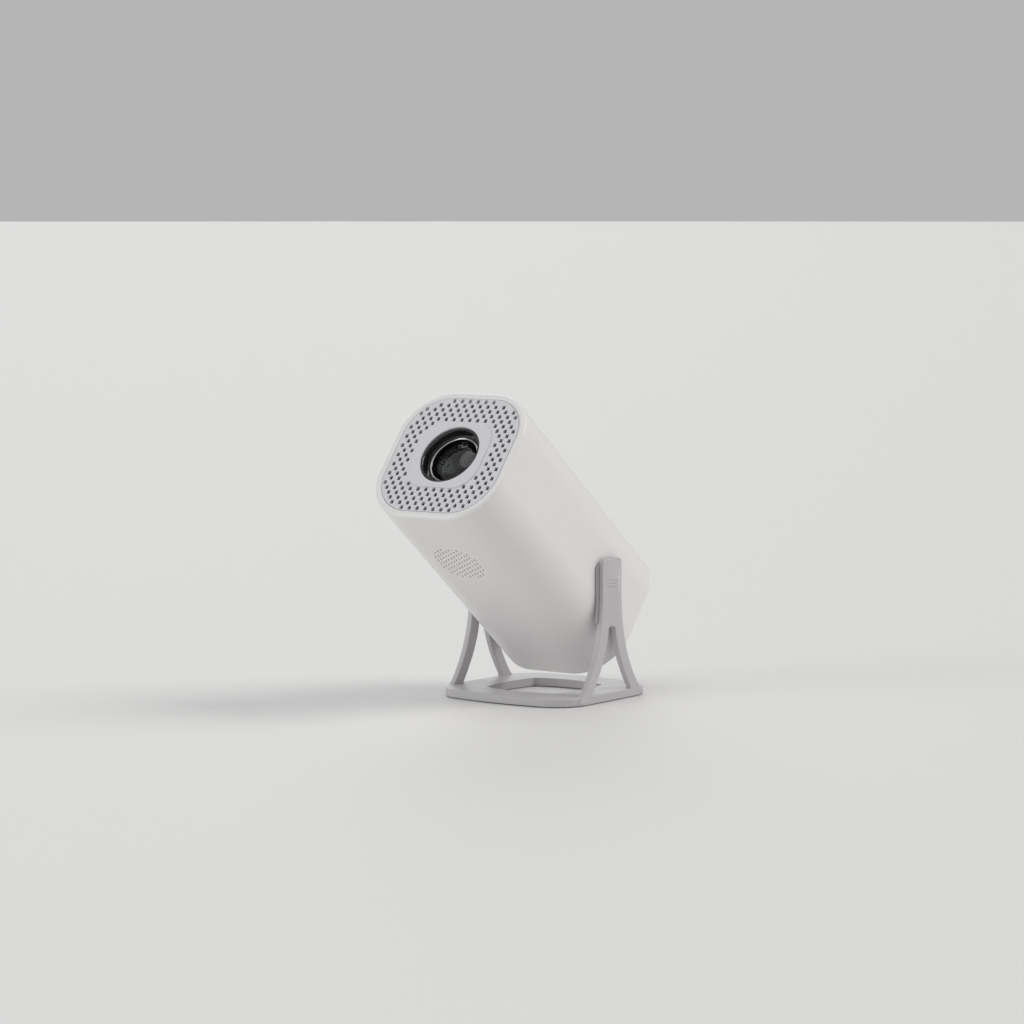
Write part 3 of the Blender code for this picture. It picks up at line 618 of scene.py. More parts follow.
def pad_finish():
    tint = bpy.context.scene.projector_stand.pad_colour
    return moulded("soft_pad", tint, 0.62, bump=(0.3, 0.05 * MM))


def barrel_finish():
    tint = bpy.context.scene.projector_lens.barrel_colour
    coat = {"Coat_Weight": 0.6, "Coat_Roughness": 0.04}
    return moulded("glossy_barrel", tint, 0.12, bump=None, patch_tone=0.1, **coat)


def black_plastic():
    return moulded("black_plastic", (0.022, 0.022, 0.024), 0.5, bump=(0.4, 0.06 * MM), patch_tone=0.15)


def gloss_black():
    return moulded("gloss_black", (0.012, 0.010, 0.011), 0.09, bump=None, patch_tone=0.1, Coat_Weight=0.4)


def rubber():
    return moulded("rubber", (0.035, 0.035, 0.036), 0.85, bump=(0.5, 0.08 * MM), patch_tone=0.2)


def steel():
    return metal("steel", (0.56, 0.57, 0.58), 0.32)


def tinned():
    return metal("tinned_steel", (0.70, 0.70, 0.69), 0.26, tone=0.08)


def aluminium():
    return metal("aluminium", (0.76, 0.77, 0.78), 0.38, stretch=(1.0, 1.0, 14.0))


def chrome():
    return metal("chrome", (0.82, 0.82, 0.84), 0.12, tone=0.05, bump=None)


def gold():
    return metal("gold_contact", (0.83, 0.62, 0.28), 0.25, tone=0.08, bump=None)


def gunmetal():
    return metal("gunmetal", (0.42, 0.42, 0.44), 0.16, tone=0.05, bump=None)


def board():
    return moulded(
        "circuit_board", (0.02, 0.13, 0.05), 0.42, bump=(0.3, 0.04 * MM), patch_tone=0.5, speckle_tone=0.5,
        Coat_Weight=0.3,
    )


def nylon():
    return moulded("nylon", (0.76, 0.75, 0.70), 0.5, patch_tone=0.05, Subsurface_Weight=0.05)


def paper_cone():
    return moulded("paper_cone", (0.05, 0.05, 0.052), 0.9, bump=(0.6, 0.1 * MM), speckle_tone=0.6)


def lamp_face():
    return moulded("lamp_face", (0.86, 0.80, 0.50), 0.4, patch_tone=0.15)


def milky():
    return moulded("milky_light", (0.80, 0.86, 0.88), 0.25, patch_tone=0.05, bump=None, Coat_Weight=0.5)


def glass():
    tint = bpy.context.scene.projector_lens.glass_colour
    return moulded(
        "coated_glass", tint, 0.02, bump=None, patch_tone=0.02, speckle_tone=0.0,
        Transmission_Weight=1.0, IOR=1.52, Coat_Weight=0.0,
    )


def gauze():
    values = {"Colour": (0.013, 0.013, 0.014)}
    tree = shared("Woven gauze", woven_group)
    return surface("woven_gauze", tree, values, (0.6, 0.1 * MM), {"Roughness": 0.9})


CAD_FINISHES = (
    (steel, (
        "base_weight", "base_screw_1", "base_screw_2", "base_screw_3", "base_screw_4", "hinge_screw_left",
        "hinge_screw_right", "hinge_plate_left", "hinge_plate_right", "speaker_basket",
    )),
    (rubber, ("rubber_foot_1", "rubber_foot_2", "rubber_foot_3", "rubber_foot_4")),
    (nylon, ("hinge_bush_left", "hinge_bush_right", "focus_ring")),
    (black_plastic, ("lens_guide", "optical_block", "air_duct", "fan_housing", "dc_socket", "audio_socket")),
    (tinned, ("hdmi_socket", "usb_socket", "processor_shield", "wifi_module")),
    (gloss_black, ("lcd_panel", "capacitor_1", "capacitor_2", "ir_window")),
    (glass, ("middle_lens", "rear_lens", "condenser_lens", "front_fresnel_lens", "rear_fresnel_lens")),
    (chrome, ("reflector",)),
    (aluminium, ("heat_sink",)),
    (paper_cone, ("speaker_cone",)),
    (board, ("main_board", "driver_board", "button_board")),
    (lamp_face, ("led_module",)),
    (milky, ("status_light",)),
)


def finish_cad_nodes():
    for make, names in CAD_FINISHES:
        for name in names:
            for place in frame["nodes"][name].material_slots:
                place.material = make()


# ---------------------------------------------------------------- casing

def shell_wall():
    """The wall's section as (distance along, inset), from the front seat round the outside."""
    crown = 0.9 * MM
    steps = 8
    turns = [math.radians(90 * i / steps) for i in range(steps + 1)]
    deep = PLATE_HIGH.y + 0.3 * MM
    back = COVER_LOW.y - 0.3 * MM
    wall = [(deep, RIM)]
    for t in turns:
        inset = FRONT_ROUND + (RIM - FRONT_ROUND) * math.cos(t)
        wall.append((FRONT + crown * (1 - math.sin(t)), inset))
    wall += [(FRONT + FRONT_ROUND * (1 - math.cos(t)), FRONT_ROUND * (1 - math.sin(t))) for t in turns[1:]]
    wall += [(REAR - REAR_ROUND * (1 - math.sin(t)), REAR_ROUND * (1 - math.cos(t))) for t in turns]
    wall += [(REAR, COVER_RIM - 0.3 * MM), (REAR - 0.3 * MM, COVER_RIM), (back, COVER_RIM)]
    wall += [(back, COVER_RIM + 2 * MM), (back - 2 * MM, COVER_RIM + 2 * MM), (back - 2 * MM, WALL)]
    wall += [(deep + SEAT, WALL), (deep + SEAT, RIM + 2.2 * MM), (deep, RIM + 2.2 * MM)]
    return wall


def sound_slots(settings):
    """Round-ended slots through the underside, in staggered columns within a circle."""
    width, tall = settings.sound_width / 2, settings.sound_length / 2
    pitch, middle = settings.sound_pitch, (SPEAKER_LOW.y + SPEAKER_HIGH.y) / 2
    row_pitch = 1.2 * pitch
    outline = rounded_rectangle(width, tall, 0.9 * width, 3)
    parts = []
    reach = math.ceil(settings.sound_radius / pitch)
    for column in range(-reach, reach + 1):
        for row in range(-reach, reach + 1):
            x = column * pitch
            y = (row + 0.5 * (column % 2)) * row_pitch
            if math.hypot(x, y) < settings.sound_radius - tall:
                parts.append(moved(prism(outline, -HALF_H - 5 * MM, -HALF_H + 5 * MM, "Z"), x, middle + y))
    return joined(parts)


def make_shell(settings):
    rings = [(along, section(less)) for along, less in shell_wall()]
    wheel = (WHEEL_LOW + WHEEL_HIGH) / 2
    wheel_slot = rounded_rectangle(13.5 * MM, 4.2 * MM, 1.6 * MM, 6)
    top = (HALF_H - 8 * MM, HALF_H + 8 * MM)
    cuts = [sound_slots(settings), moved(prism(wheel_slot, *top, "Z"), 0, wheel.y)]
    for low, high, radius in ((BUTTON_LOW, BUTTON_HIGH, 6.3 * MM), (LIGHT_LOW, LIGHT_HIGH, 1.5 * MM)):
        cuts.append(moved(disc(radius, *top, "Z", 64), 0, (low.y + high.y) / 2))
    for side in (-1, 1):
        cuts.append(disc(10 * MM, side * (HALF_W - 8 * MM), side * (HALF_W + 8 * MM), "X", 64))
    made = piece("shell", loft(rings, loop=True), cuts=cuts)
    finished(made, shell_finish(), "projector", "shell", "outer_shell")


LAND_HALF_W = 30.5 * MM
LAND_HALF_H = 28.5 * MM
LAND_CORNER = 18.0 * MM


def land_outline(more=0.0):
    return rounded_rectangle(LAND_HALF_W + more, LAND_HALF_H + more, LAND_CORNER + more, 12, 9)


def plate_holes(settings):
    """Rounded holes in staggered rows between the rim and the smooth land round the lens."""
    half_w, half_h = settings.hole_width / 2, settings.hole_height / 2
    outline = rounded_rectangle(half_w, half_h, 0.35 * half_w, 2)
    rows = math.ceil(HALF_H / settings.row_pitch)
    columns = math.ceil(HALF_W / settings.hole_pitch)
    parts = []
    for row in range(-rows, rows):
        z = (row + 0.5) * settings.row_pitch
        for column in range(-columns, columns + 1):
            x = (column + 0.5 * (row % 2)) * settings.hole_pitch
            clear = 0.7 * MM
            land_w = LAND_HALF_W + half_w + clear / 2
            land_h = LAND_HALF_H + half_h - clear / 2
            on_land = inside_rounded(x, z, land_w, land_h, LAND_CORNER + half_w)
            if inside_section(x, z, RIM + half_h + clear) and not on_land:
                parts.append(moved(prism(outline, FRONT - 5 * MM, FRONT + 8 * MM), x, 0, z))
    return joined(parts)


def make_front_plate(settings):
    """The perforated plate and the raised land that the lens comes through."""
    face = FRONT + PLATE_DROP
    outline = section(RIM + 0.25 * MM)
    edge = 0.35 * MM
    rings = [(face, grown(outline, -edge)), (face + 0.3 * edge, grown(outline, -0.3 * edge))]
    rings += [(face + edge, outline), (PLATE_HIGH.y, outline)]
    opening = prism(land_outline(0.03 * MM), FRONT - 5 * MM, FRONT + 8 * MM)
    made = piece("perforated_plate", loft(rings), cuts=[opening, plate_holes(settings)])
    finished(made, plate_finish(), "projector", "plate", "front_plate")

    outer = land_outline()
    top = PLATE_LOW.y + PLATE_DROP
    angles = [math.atan2(z, x) for x, z in outer]

    def bore(radius):
        return [(radius * math.cos(turn), radius * math.sin(turn)) for turn in angles]

    fall, soft = 0.5 * MM, 0.6 * MM
    between = zip(grown(outer, -fall), bore(LENS_HOLE_R + soft))
    middle = [((a[0] + b[0]) / 2, (a[1] + b[1]) / 2) for a, b in between]
    rings = [
        (PLATE_HIGH.y, outer), (top + fall, outer), (top + 0.3 * fall, grown(outer, -0.3 * fall)),
        (top, grown(outer, -fall)), (top, middle), (top, bore(LENS_HOLE_R + soft)),
        (top + 0.3 * soft, bore(LENS_HOLE_R + 0.3 * soft)), (top + soft, bore(LENS_HOLE_R)),
        (PLATE_HIGH.y, bore(LENS_HOLE_R)),
    ]
    made = piece("lens_surround", loft(rings, loop=True))
    finished(made, plate_finish(), "projector", "plate")


def make_gauzes(settings):
    """Fine black gauze behind the front plate's holes and behind the sound outlet."""
    low = PLATE_HIGH.y + 0.9 * MM
    thick = 0.4 * MM
    sheet = rounded_prism(section(RIM + 2.5 * MM), low, low + thick, 0.1 * MM, steps=2)
    made = piece("front_gauze", sheet, cuts=[disc(LENS_HOLE_R + 3 * MM, low - 5 * MM, low + 5 * MM)])
    finished(made, gauze(), "projector", "black_plastic")
    middle = (SPEAKER_LOW.y + SPEAKER_HIGH.y) / 2
    depth = -HALF_H + WALL + 0.05 * MM
    radius = settings.sound_radius + 1 * MM
    profile = [(0, depth), (radius - 0.1 * MM, depth), (radius, depth + 0.1 * MM), (radius, depth + 0.3 * MM)]
    made = piece("sound_gauze", moved(turned(profile + [(0, depth + 0.3 * MM)], "Z"), 0, middle))
    finished(made, gauze(), "projector", "black_plastic")


def vent_slots():
    """Upright round-ended slots in front of the fan, shortened to fit a circle."""
    centre = (FAN_LOW + FAN_HIGH) / 2
    pitch, half_w, radius = 5.4 * MM, 1.5 * MM, 25 * MM
    parts = []
    for i in range(-4, 5):
        x = i * pitch
        tall = math.sqrt(radius ** 2 - x ** 2)
        outline = rounded_rectangle(half_w, tall, 0.98 * half_w, 6)
        parts.append(moved(prism(outline, REAR - 12 * MM, REAR + 5 * MM), x, 0, centre.z))
    return joined(parts)


SOCKETS = ("dc_socket", "hdmi_socket", "usb_socket", "audio_socket")
REAR_SCREWS = ("rear_screw_1", "rear_screw_2", "rear_screw_3", "rear_screw_4")


def make_rear_cover():
    outline = section(COVER_RIM + 0.3 * MM)
    edge = 0.5 * MM
    rings = [(COVER_LOW.y, outline), (COVER_HIGH.y - edge, outline)]
    rings += [(COVER_HIGH.y - 0.3 * edge, grown(outline, -0.3 * edge)), (COVER_HIGH.y, grown(outline, -edge))]
    through = (REAR - 12 * MM, REAR + 5 * MM)
    cuts = [vent_slots()]
    openings = []
    for name in (*SOCKETS, "ir_window"):
        low, high = measured(name)
        centre, half = (low + high) / 2, (high - low) / 2
        corner = half.z + 0.25 * MM if name == "ir_window" else 0.9 * MM
        outline = rounded_rectangle(half.x + 0.3 * MM, half.z + 0.3 * MM, corner, 6)
        openings.append(moved(prism(outline, *through), centre.x, 0, centre.z))
    cuts.append(joined(openings))
    for name in REAR_SCREWS:
        low, high = measured(name)
        centre = (low + high) / 2
        well = [(0, REAR - 12 * MM), (1.7 * MM, REAR - 12 * MM), (1.7 * MM, COVER_HIGH.y - 1.0 * MM)]
        well += [(3.1 * MM, COVER_HIGH.y - 1.0 * MM), (3.1 * MM, REAR + 5 * MM), (0, REAR + 5 * MM)]
        cuts.append(moved(turned(well, "Y", 48), centre.x, 0, centre.z))
    made = piece("vented_cover", loft(rings), cuts=cuts)
    finished(made, cover_finish(), "projector", "shell", "rear_cover")


CROSS_LONG = 1.5 * MM
CROSS_THIN = 0.28 * MM
CROSS_CORNER = 0.2 * MM
CROSS_DEPTH = 0.45 * MM


def make_rear_screws():
    """Low domed heads with a cross recess, down in their wells."""
    for name in REAR_SCREWS:
        low, high = measured(name)
        centre, radius = (low + high) / 2, (high.x - low.x) / 2
        under = high.y - 0.6 * MM
        profile = [(0, low.y), (1.4 * MM, low.y), (1.4 * MM, under), (radius, under)]
        profile += [(radius, high.y - 0.35 * MM), (0.93 * radius, high.y - 0.12 * MM)]
        profile += [(0.6 * radius, high.y), (0, high.y)]
        made = new_object(f"cover_{name[5:]}", turned(profile, "Y", 40), BODY)
        for half_x, half_z in ((CROSS_LONG, CROSS_THIN), (CROSS_THIN, CROSS_LONG)):
            outline = rounded_rectangle(half_x, half_z, CROSS_CORNER, 2)
            boolean(made, prism(outline, high.y - CROSS_DEPTH, high.y + 1 * MM))
        made.matrix_world = BODY @ Matrix.Translation((centre.x, 0, centre.z)) @ Matrix.Rotation(0.5, 4, "Y")
        finished(made, steel(), "projector", "steel", name)


def make_socket_tongues():
    """The plastic tongue in each flat socket, with its row of gold contacts."""
    for name, contacts in (("hdmi_socket", 9), ("usb_socket", 4)):
        low, high = measured(name)
        centre, half = (low + high) / 2, (high - low) / 2
        wide, thick = half.x - 1.6 * MM, 0.55 * MM if contacts > 4 else 0.9 * MM
        lift = 0.0 if contacts > 4 else 1.0 * MM
        deep, tip = low.y + 2.1 * MM, high.y - 1.8 * MM
        outline = rounded_rectangle(wide, thick, 0.25 * MM, 3)
        tongue = moved(rounded_prism(outline, deep, tip, 0.25 * MM), centre.x, 0, centre.z + lift)
        made = piece(f"{name[:-7]}_tongue", tongue)
        finished(made, black_plastic(), "projector", "black_plastic")
        strips = []
        step = 2 * wide / (contacts + 0.5)
        for i in range(contacts):
            x = centre.x + (i - (contacts - 1) / 2) * step
            blade = rounded_prism(
                rounded_rectangle(0.28 * step, 0.09 * MM, 0.05 * MM, 2), deep + 1 * MM, tip - 0.9 * MM,
                0.05 * MM, steps=2,
            )
            strips.append(moved(blade, x, 0, centre.z + lift - thick - 0.1 * MM))
        made = piece(f"{name[:-7]}_contacts", joined(strips))
        finished(made, gold(), "projector", "chrome")


def make_power_button():
    """A dished round key with a fine ring, on its flange."""
    low, high = BUTTON_LOW.z, BUTTON_HIGH.z
    flange = low + 1.9 * MM
    cap = 5.9 * MM
    profile = [
        (0, low), (2.0 * MM, low), (2.0 * MM, flange), (7.4 * MM, flange), (7.4 * MM, flange + 1.2 * MM),
        (cap, flange + 1.2 * MM), (cap, high - 0.6 * MM), (cap - 0.18 * MM, high - 0.2 * MM),
        (cap - 0.6 * MM, high), (4.3 * MM, high - 0.06 * MM), (4.15 * MM, high - 0.25 * MM),
        (3.85 * MM, high - 0.25 * MM), (3.7 * MM, high - 0.10 * MM), (2.0 * MM, high - 0.28 * MM),
        (0, high - 0.34 * MM),
    ]
    middle = (BUTTON_LOW + BUTTON_HIGH) / 2
    made = piece("button_cap", moved(turned(profile, "Z"), 0, middle.y))
    finished(made, plate_finish(), "power_button", "accent", "power_button")


# ---------------------------------------------------------------- lens, focus wheel and fan

def make_lens(settings):
    """Glossy barrel, its fine ring and the domed front lens."""
    front, rear = BARREL_LOW.y, BARREL_HIGH.y
    lip = 0.6 * MM
    outside = [(20 * MM, rear), (BARREL_R, front + 36 * MM)]
    rounded = [
        (BARREL_R - lip * (1 - math.cos(t)), front + lip * (1 - math.sin(t)))
        for t in (math.radians(15 * i) for i in range(7))
    ]
    inside = [
        (22.3, 0.05), (22.0, 0.4), (21.5, 1.6), (21.0, 3.1), (20.6, 4.6), (20.3, 5.5), (19.9, 5.8),
        (19.8, 6.0),
        (19.8, 14.0), (17.2, 14.0), (17.2, 26.0), (15.2, 26.0), (15.2, 34.0), (16.2, 34.0),
    ]
    profile = outside + rounded + [(r * MM, front + d * MM) for r, d in inside] + [(16.2 * MM, rear)]
    made = piece("glossy_barrel", turned(profile, sides=128))
    finished(made, barrel_finish(), "lens", "black_plastic", "lens_barrel")

    low, high = measured("lens_retaining_ring")
    outer = high.x
    inner = outer - 1.5 * MM
    profile = [
        (inner, high.y), (inner, low.y + 0.5 * MM), (inner + 0.25 * MM, low.y + 0.15 * MM),
        (inner + 0.6 * MM, low.y), (outer - 0.5 * MM, low.y), (outer - 0.12 * MM, low.y + 0.12 * MM),
        (outer, low.y + 0.4 * MM), (outer, high.y),
    ]
    made = piece("fine_ring", turned(profile, sides=128))
    finished(made, gunmetal(), "lens", "chrome", "lens_retaining_ring")

    low, high = measured("front_lens")
    radius = high.x
    steps = 14
    profile = []
    for i in range(steps + 1):
        t = i / steps
        profile.append((radius * t, low.y + settings.dome * (1 - math.sqrt(1 - (0.93 * t) ** 2)) / 0.63))
    profile += [(radius, high.y - 1.2 * MM), (0.5 * radius, high.y - 0.3 * MM), (0, high.y)]
    made = piece("domed_lens", turned(profile, sides=128))
    finished(made, glass(), "lens", "glass", "front_lens")


WHEEL_TEETH = 16


def make_focus_wheel():
    """A thumb wheel with rounded teeth, eased sides and a short axle."""
    centre = (WHEEL_LOW + WHEEL_HIGH) / 2
    tip = WHEEL_HIGH.z - centre.z
    tall = 2.75 * MM
    flank = ((-0.36, 0.02), (-0.25, 0.08), (-0.18, 0.45), (-0.13, 0.78), (-0.08, 0.94), (0.0, 1.0))
    shape = list(flank) + [(-share, height) for share, height in reversed(flank[:-1])]
    outline = []
    for tooth in range(WHEEL_TEETH):
        for share, height in shape:
            turn = (tooth + 0.5 + share) * math.tau / WHEEL_TEETH - math.pi / 2
            radius = tip - tall * (1 - height)
            outline.append((radius * math.cos(turn), radius * math.sin(turn)))
    half = 3.0 * MM
    made = new_object("thumb_wheel", rounded_prism(outline, -half, half, 0.5 * MM, steps=3), BODY)
    boolean(made, disc(1.5 * MM, WHEEL_LOW.y - centre.y, WHEEL_HIGH.y - centre.y, sides=32), "UNION")
    made.matrix_world = BODY @ Matrix.Translation(centre)
    finished(made, pad_finish(), "focus_wheel", "accent", "focus_wheel")


FAN_BLADES = 7
# A blade's section, as shares of its chord and of its thickness.
BLADE_SECTION = (
    (-0.5, 0), (-0.3, 0.45), (0, 0.6), (0.3, 0.42), (0.5, 0), (0.3, -0.2), (0, -0.3), (-0.3, -0.25),
)


def blade_section(radius, turn, chord, pitch, thick):
    """One closed section of a blade at a radius, swept round by `turn` and set at `pitch`."""
    points = []
    for along, above in BLADE_SECTION:
        camber = 0.12 * chord * (1 - 4 * along * along)
        across = chord * along * math.cos(pitch) - (thick * above + camber) * math.sin(pitch)
        rise = chord * along * math.sin(pitch) + (thick * above + camber) * math.cos(pitch)
        angle = turn + across / radius
        points.append((radius * math.cos(angle), rise, radius * math.sin(angle)))
    return points


def fan_blade(first, hub, tip):
    bm = bmesh.new()
    rings = []
    steps = 7
    for i in range(steps + 1):
        t = i / steps
        radius = hub + (tip - hub) * t
        pitch = math.radians(48 - 20 * t)
        points = blade_section(radius, first + 0.35 * t * t, (11 + 3 * t) * MM, pitch, 1.1 * MM)
        rings.append([bm.verts.new(point) for point in points])
    for low, high in zip(rings, rings[1:]):
        for i in range(len(low)):
            j = (i + 1) % len(low)
            bm.faces.new((low[i], low[j], high[j], high[i]))
    bm.faces.new(rings[0])
    bm.faces.new(rings[-1])
    bmesh.ops.recalc_face_normals(bm, faces=bm.faces)
    return bm


def make_fan():
    """Hub with eased edges and seven swept, twisted blades."""
    centre = (FAN_LOW + FAN_HIGH) / 2
    hub, tip = 11.5 * MM, 26.6 * MM
    half = 5.3 * MM
    soft = 1.2 * MM
    profile = [(0, -half), (hub, -half), (hub, half - soft), (hub - 0.3 * soft, half - 0.3 * soft)]
    profile += [(hub - soft, half), (5 * MM, half), (4.6 * MM, half - 0.4 * MM), (0, half - 0.4 * MM)]
    blades = joined([fan_blade(math.tau * i / FAN_BLADES, hub - 0.8 * MM, tip) for i in range(FAN_BLADES)])
    made = piece("bladed_rotor", turned(profile, sides=64), additions=[blades])
    made.matrix_world = BODY @ Matrix.Translation(centre)
    finished(made, black_plastic(), "fan", "black_plastic", "fan_rotor")


# ---------------------------------------------------------------- stand

BASE_CORNER = 27.0 * MM
BASE_CORNER_Y = 59.0 * MM
BASE_BULGE = 2.5 * MM
HOLE_X, HOLE_Y = 31.0 * MM, 30.0 * MM
HOLE_BULGE_X, HOLE_BULGE_Y = 4.0 * MM, 7.0 * MM
ARM_HALF = 12.2 * MM
SLOT_TOP = 54.8 * MM
REBATE_UP = 58.0 * MM


def base_outline():
    """Rounded rectangle whose front and rear edges bow out, counter-clockwise."""
    x = BASE_HALF_W - BASE_CORNER
    y = BASE_CORNER_Y - BASE_CORNER
    steps = 16
    found = arc((x, y), BASE_CORNER, 0, 90, steps)
    found += bowed((x, BASE_CORNER_Y), (-x, BASE_CORNER_Y), BASE_BULGE, 24)[1:]
    found += arc((-x, y), BASE_CORNER, 90, 180, steps)
    found += arc((-x, -y), BASE_CORNER, 180, 270, steps)
    found += bowed((-x, -BASE_CORNER_Y), (x, -BASE_CORNER_Y), BASE_BULGE, 24)[1:]
    found += arc((x, -y), BASE_CORNER, 270, 360, steps)
    return found


def hole_outline():
    """Four bowed sides that meet in clear corners, counter-clockwise."""
    x, y = HOLE_X, HOLE_Y
    found = bowed((x, -y), (x, y), HOLE_BULGE_X, 24)
    found += bowed((x, y), (-x, y), HOLE_BULGE_Y, 24)
    found += bowed((-x, y), (-x, -y), HOLE_BULGE_X, 24)
    found += bowed((-x, -y), (x, -y), HOLE_BULGE_Y, 24)
    return found


def arm_half_width(z):
    return ARM_HALF + 30.0 * MM * max(0.0, 1 - z / (85 * MM)) ** 2.6


def slot_half_width(z):
    return 4.5 * MM + 25.4 * MM * max(0.0, 1 - z / (54 * MM)) ** 1.66


def foot_fillet(z):
    """How much a leg widens just above the base."""
    reach = 2.2 * MM
    return 0.5 * reach * max(0.0, 1 - max(0.0, z - BASE_TOP) / reach) ** 2


def arm_outline():
    """Two legs that join into one arm: up the outside, over the top, down and round the slot."""
    bottom = 2.0 * MM
    straight = 85 * MM
    corner = 4.0 * MM
    steps = 60
    outside = []
    for i in range(steps + 1):
        z = bottom + (straight - bottom) * i / steps
        outside.append((arm_half_width(z) + foot_fillet(z), z))
    outside += arc((ARM_HALF - corner, ARM_TOP - corner), corner, 0, 90, 8)
    inside = []
    slot_end = SLOT_TOP - 3 * MM
    for i in range(45):
        z = bottom + (slot_end - bottom) * i / 45
        inside.append((slot_half_width(z) - foot_fillet(z), z))
    inside += arc((1.5 * MM, slot_end), 3 * MM, 0, 90, 8)
    left = [(-y, z) for y, z in reversed(outside)]
    inside_left = [(-y, z) for y, z in inside]
    return outside + left + inside_left + list(reversed(inside))


RECESS_HALF = 55.0 * MM
RECESS_CORNER = 22.3 * MM
RECESS_INNER = (41.0 * MM, 42.7 * MM)
RECESS_INNER_CORNER = 13.7 * MM
RECESS_ROOF = 3.5 * MM
BASE_SCREWS = ((48 * MM, 0), (-48 * MM, 0), (0, 49 * MM), (0, -49 * MM))
SCREW_HOLE_R = 1.8 * MM
SCREW_HOLE_TOP = 5.4 * MM
HUB_R = 7.0 * MM
HUB_IN = 47.0 * MM
HUB_SUNK = 2.5 * MM
PIN_HOLE_R = 1.7 * MM


def make_stand(settings):
    """Ring-shaped base and two slotted arms in one moulding, with the hubs that carry the casing."""
    under, edge = FRAME_LOW.z, 0.5 * MM
    outline, soft = base_outline(), settings.base_round
    rings = [(under, grown(outline, -edge)), (under + 0.3 * edge, grown(outline, -0.3 * edge))]
    rings.append((under + edge, outline))
    for i in range(6):
        turn = math.radians(90 * i / 5)
        rings.append((BASE_TOP - soft * (1 - math.sin(turn)), grown(outline, -soft * (1 - math.cos(turn)))))
    hole = hole_outline()
    brim = 0.5 * MM
    hole_rings = [(-5 * MM, hole), (BASE_TOP - brim, hole), (BASE_TOP - 0.3 * brim, grown(hole, 0.3 * brim))]
    hole_rings += [(BASE_TOP + 0.01 * MM, grown(hole, brim)), (BASE_TOP + 5 * MM, grown(hole, brim))]
    outer = rounded_rectangle(RECESS_HALF, RECESS_HALF, RECESS_CORNER, 8)
    inner = rounded_rectangle(*RECESS_INNER, RECESS_INNER_CORNER, 8)
    floor = -5 * MM
    recess = [(floor, outer), (RECESS_ROOF, outer), (RECESS_ROOF, inner), (floor, inner)]
    cuts = [loft(hole_rings, "Z"), loft(recess, "Z", loop=True)]
    for x, y in BASE_SCREWS:
        cuts.append(moved(disc(SCREW_HOLE_R, 2 * MM, SCREW_HOLE_TOP, "Z", 32), x, y))
    arms, hubs = [], []
    for side in (-1, 1):
        low, high = sorted((side * ARM_IN, side * ARM_OUT))
        arms.append(rounded_prism(arm_outline(), low, high, settings.arm_round, "X"))
        hub = disc(HUB_R, side * HUB_IN, side * (ARM_IN + HUB_SUNK), "X", 64)
        hubs.append(moved(hub, 0, 0, HINGE_UP))
        bore = disc(PIN_HOLE_R, side * (HUB_IN - 2 * MM), side * (ARM_IN - 1 * MM), "X", 32)
        cuts += [arm_rebate(side), moved(bore, 0, 0, HINGE_UP), arm_lines(settings, side)]
    made = new_object("stand_moulding", loft(rings, "Z"), STAND)
    for arm in arms:
        boolean(made, arm, "UNION")
    for cut in cuts:
        boolean(made, cut)
    for hub in hubs:
        boolean(made, hub, "UNION")
    finished(made, stand_finish(), "stand", "stand", "stand_frame")


def arm_rebate(side):
    """The step on the arm's inner side that the pad lies in."""
    low, high = sorted((side * (ARM_IN - 3 * MM), side * (ARM_IN + 1.5 * MM)))
    half_h = 30 * MM
    outline = rounded_rectangle(20 * MM, half_h, 1 * MM, 3)
    return moved(prism(outline, low, high, "X"), 0, 0, REBATE_UP + half_h)


def arm_lines(settings, side):
    """Fine level lines cut in the arm's outer face."""
    low, high = sorted((side * (ARM_OUT - settings.groove_depth), side * (ARM_OUT + 3 * MM)))
    half_w = settings.groove_width / 2
    bar = rounded_rectangle(7.75 * MM, half_w, 0.8 * half_w, 3)
    pitch = 2.35 * MM
    lines = []
    for i in range(settings.groove_count):
        lines.append(moved(prism(bar, low, high, "X"), 0, -0.65 * MM, 84.2 * MM + i * pitch))
    return joined(lines)


def make_arm_pads(settings):
    """A pad on the inner side of each arm, wider than the arm and a little lower than its top."""
    top, bottom, corner = ARM_TOP - 3.9 * MM, REBATE_UP + 0.3 * MM, 3.4 * MM
    ahead = 1.8 * MM
    right = []
    for i in range(13):
        z = bottom + (85 * MM - bottom) * i / 12
        right.append((arm_half_width(z) + ahead, z))
    right += arc((ARM_HALF + ahead - corner, top - corner), corner, 0, 90, 8)
    outline = right + [(-y, z) for y, z in reversed(right)]
    for side, word in ((-1, "left"), (1, "right")):
        low, high = sorted((side * (HALF_W + 0.4 * MM), side * (ARM_IN + 1.3 * MM)))
        pad = rounded_prism(outline, low, high, 0.5 * MM, "X", 3)
        hub = disc(7.3 * MM, side * (HALF_W - 5 * MM), side * (HALF_W + 8 * MM), "X", 64)
        made = piece(f"arm_pad_{word}", pad, STAND, cuts=[moved(hub, 0, 0, HINGE_UP)])
        finished(made, pad_finish(), "stand", "stand", f"hinge_washer_{word}")


# ---------------------------------------------------------------- stage

def floor_finish(tint):
    return moulded("pale_floor", tint, 0.7, patch_tone=0.02, speckle_tone=0.0, bump=None)


def make_floor(settings):
    """A wide round floor, whose far edge shows as a level line behind the object."""
    radius, sides = 60.0, 64
    bm = bmesh.new()
    bm.faces.new([bm.verts.new((x, y, 0.0)) for x, y in circle(radius, sides)])
    made = new_object("floor", bm, Matrix.Identity(4))
    made.data.materials.append(floor_finish(settings.floor_colour))


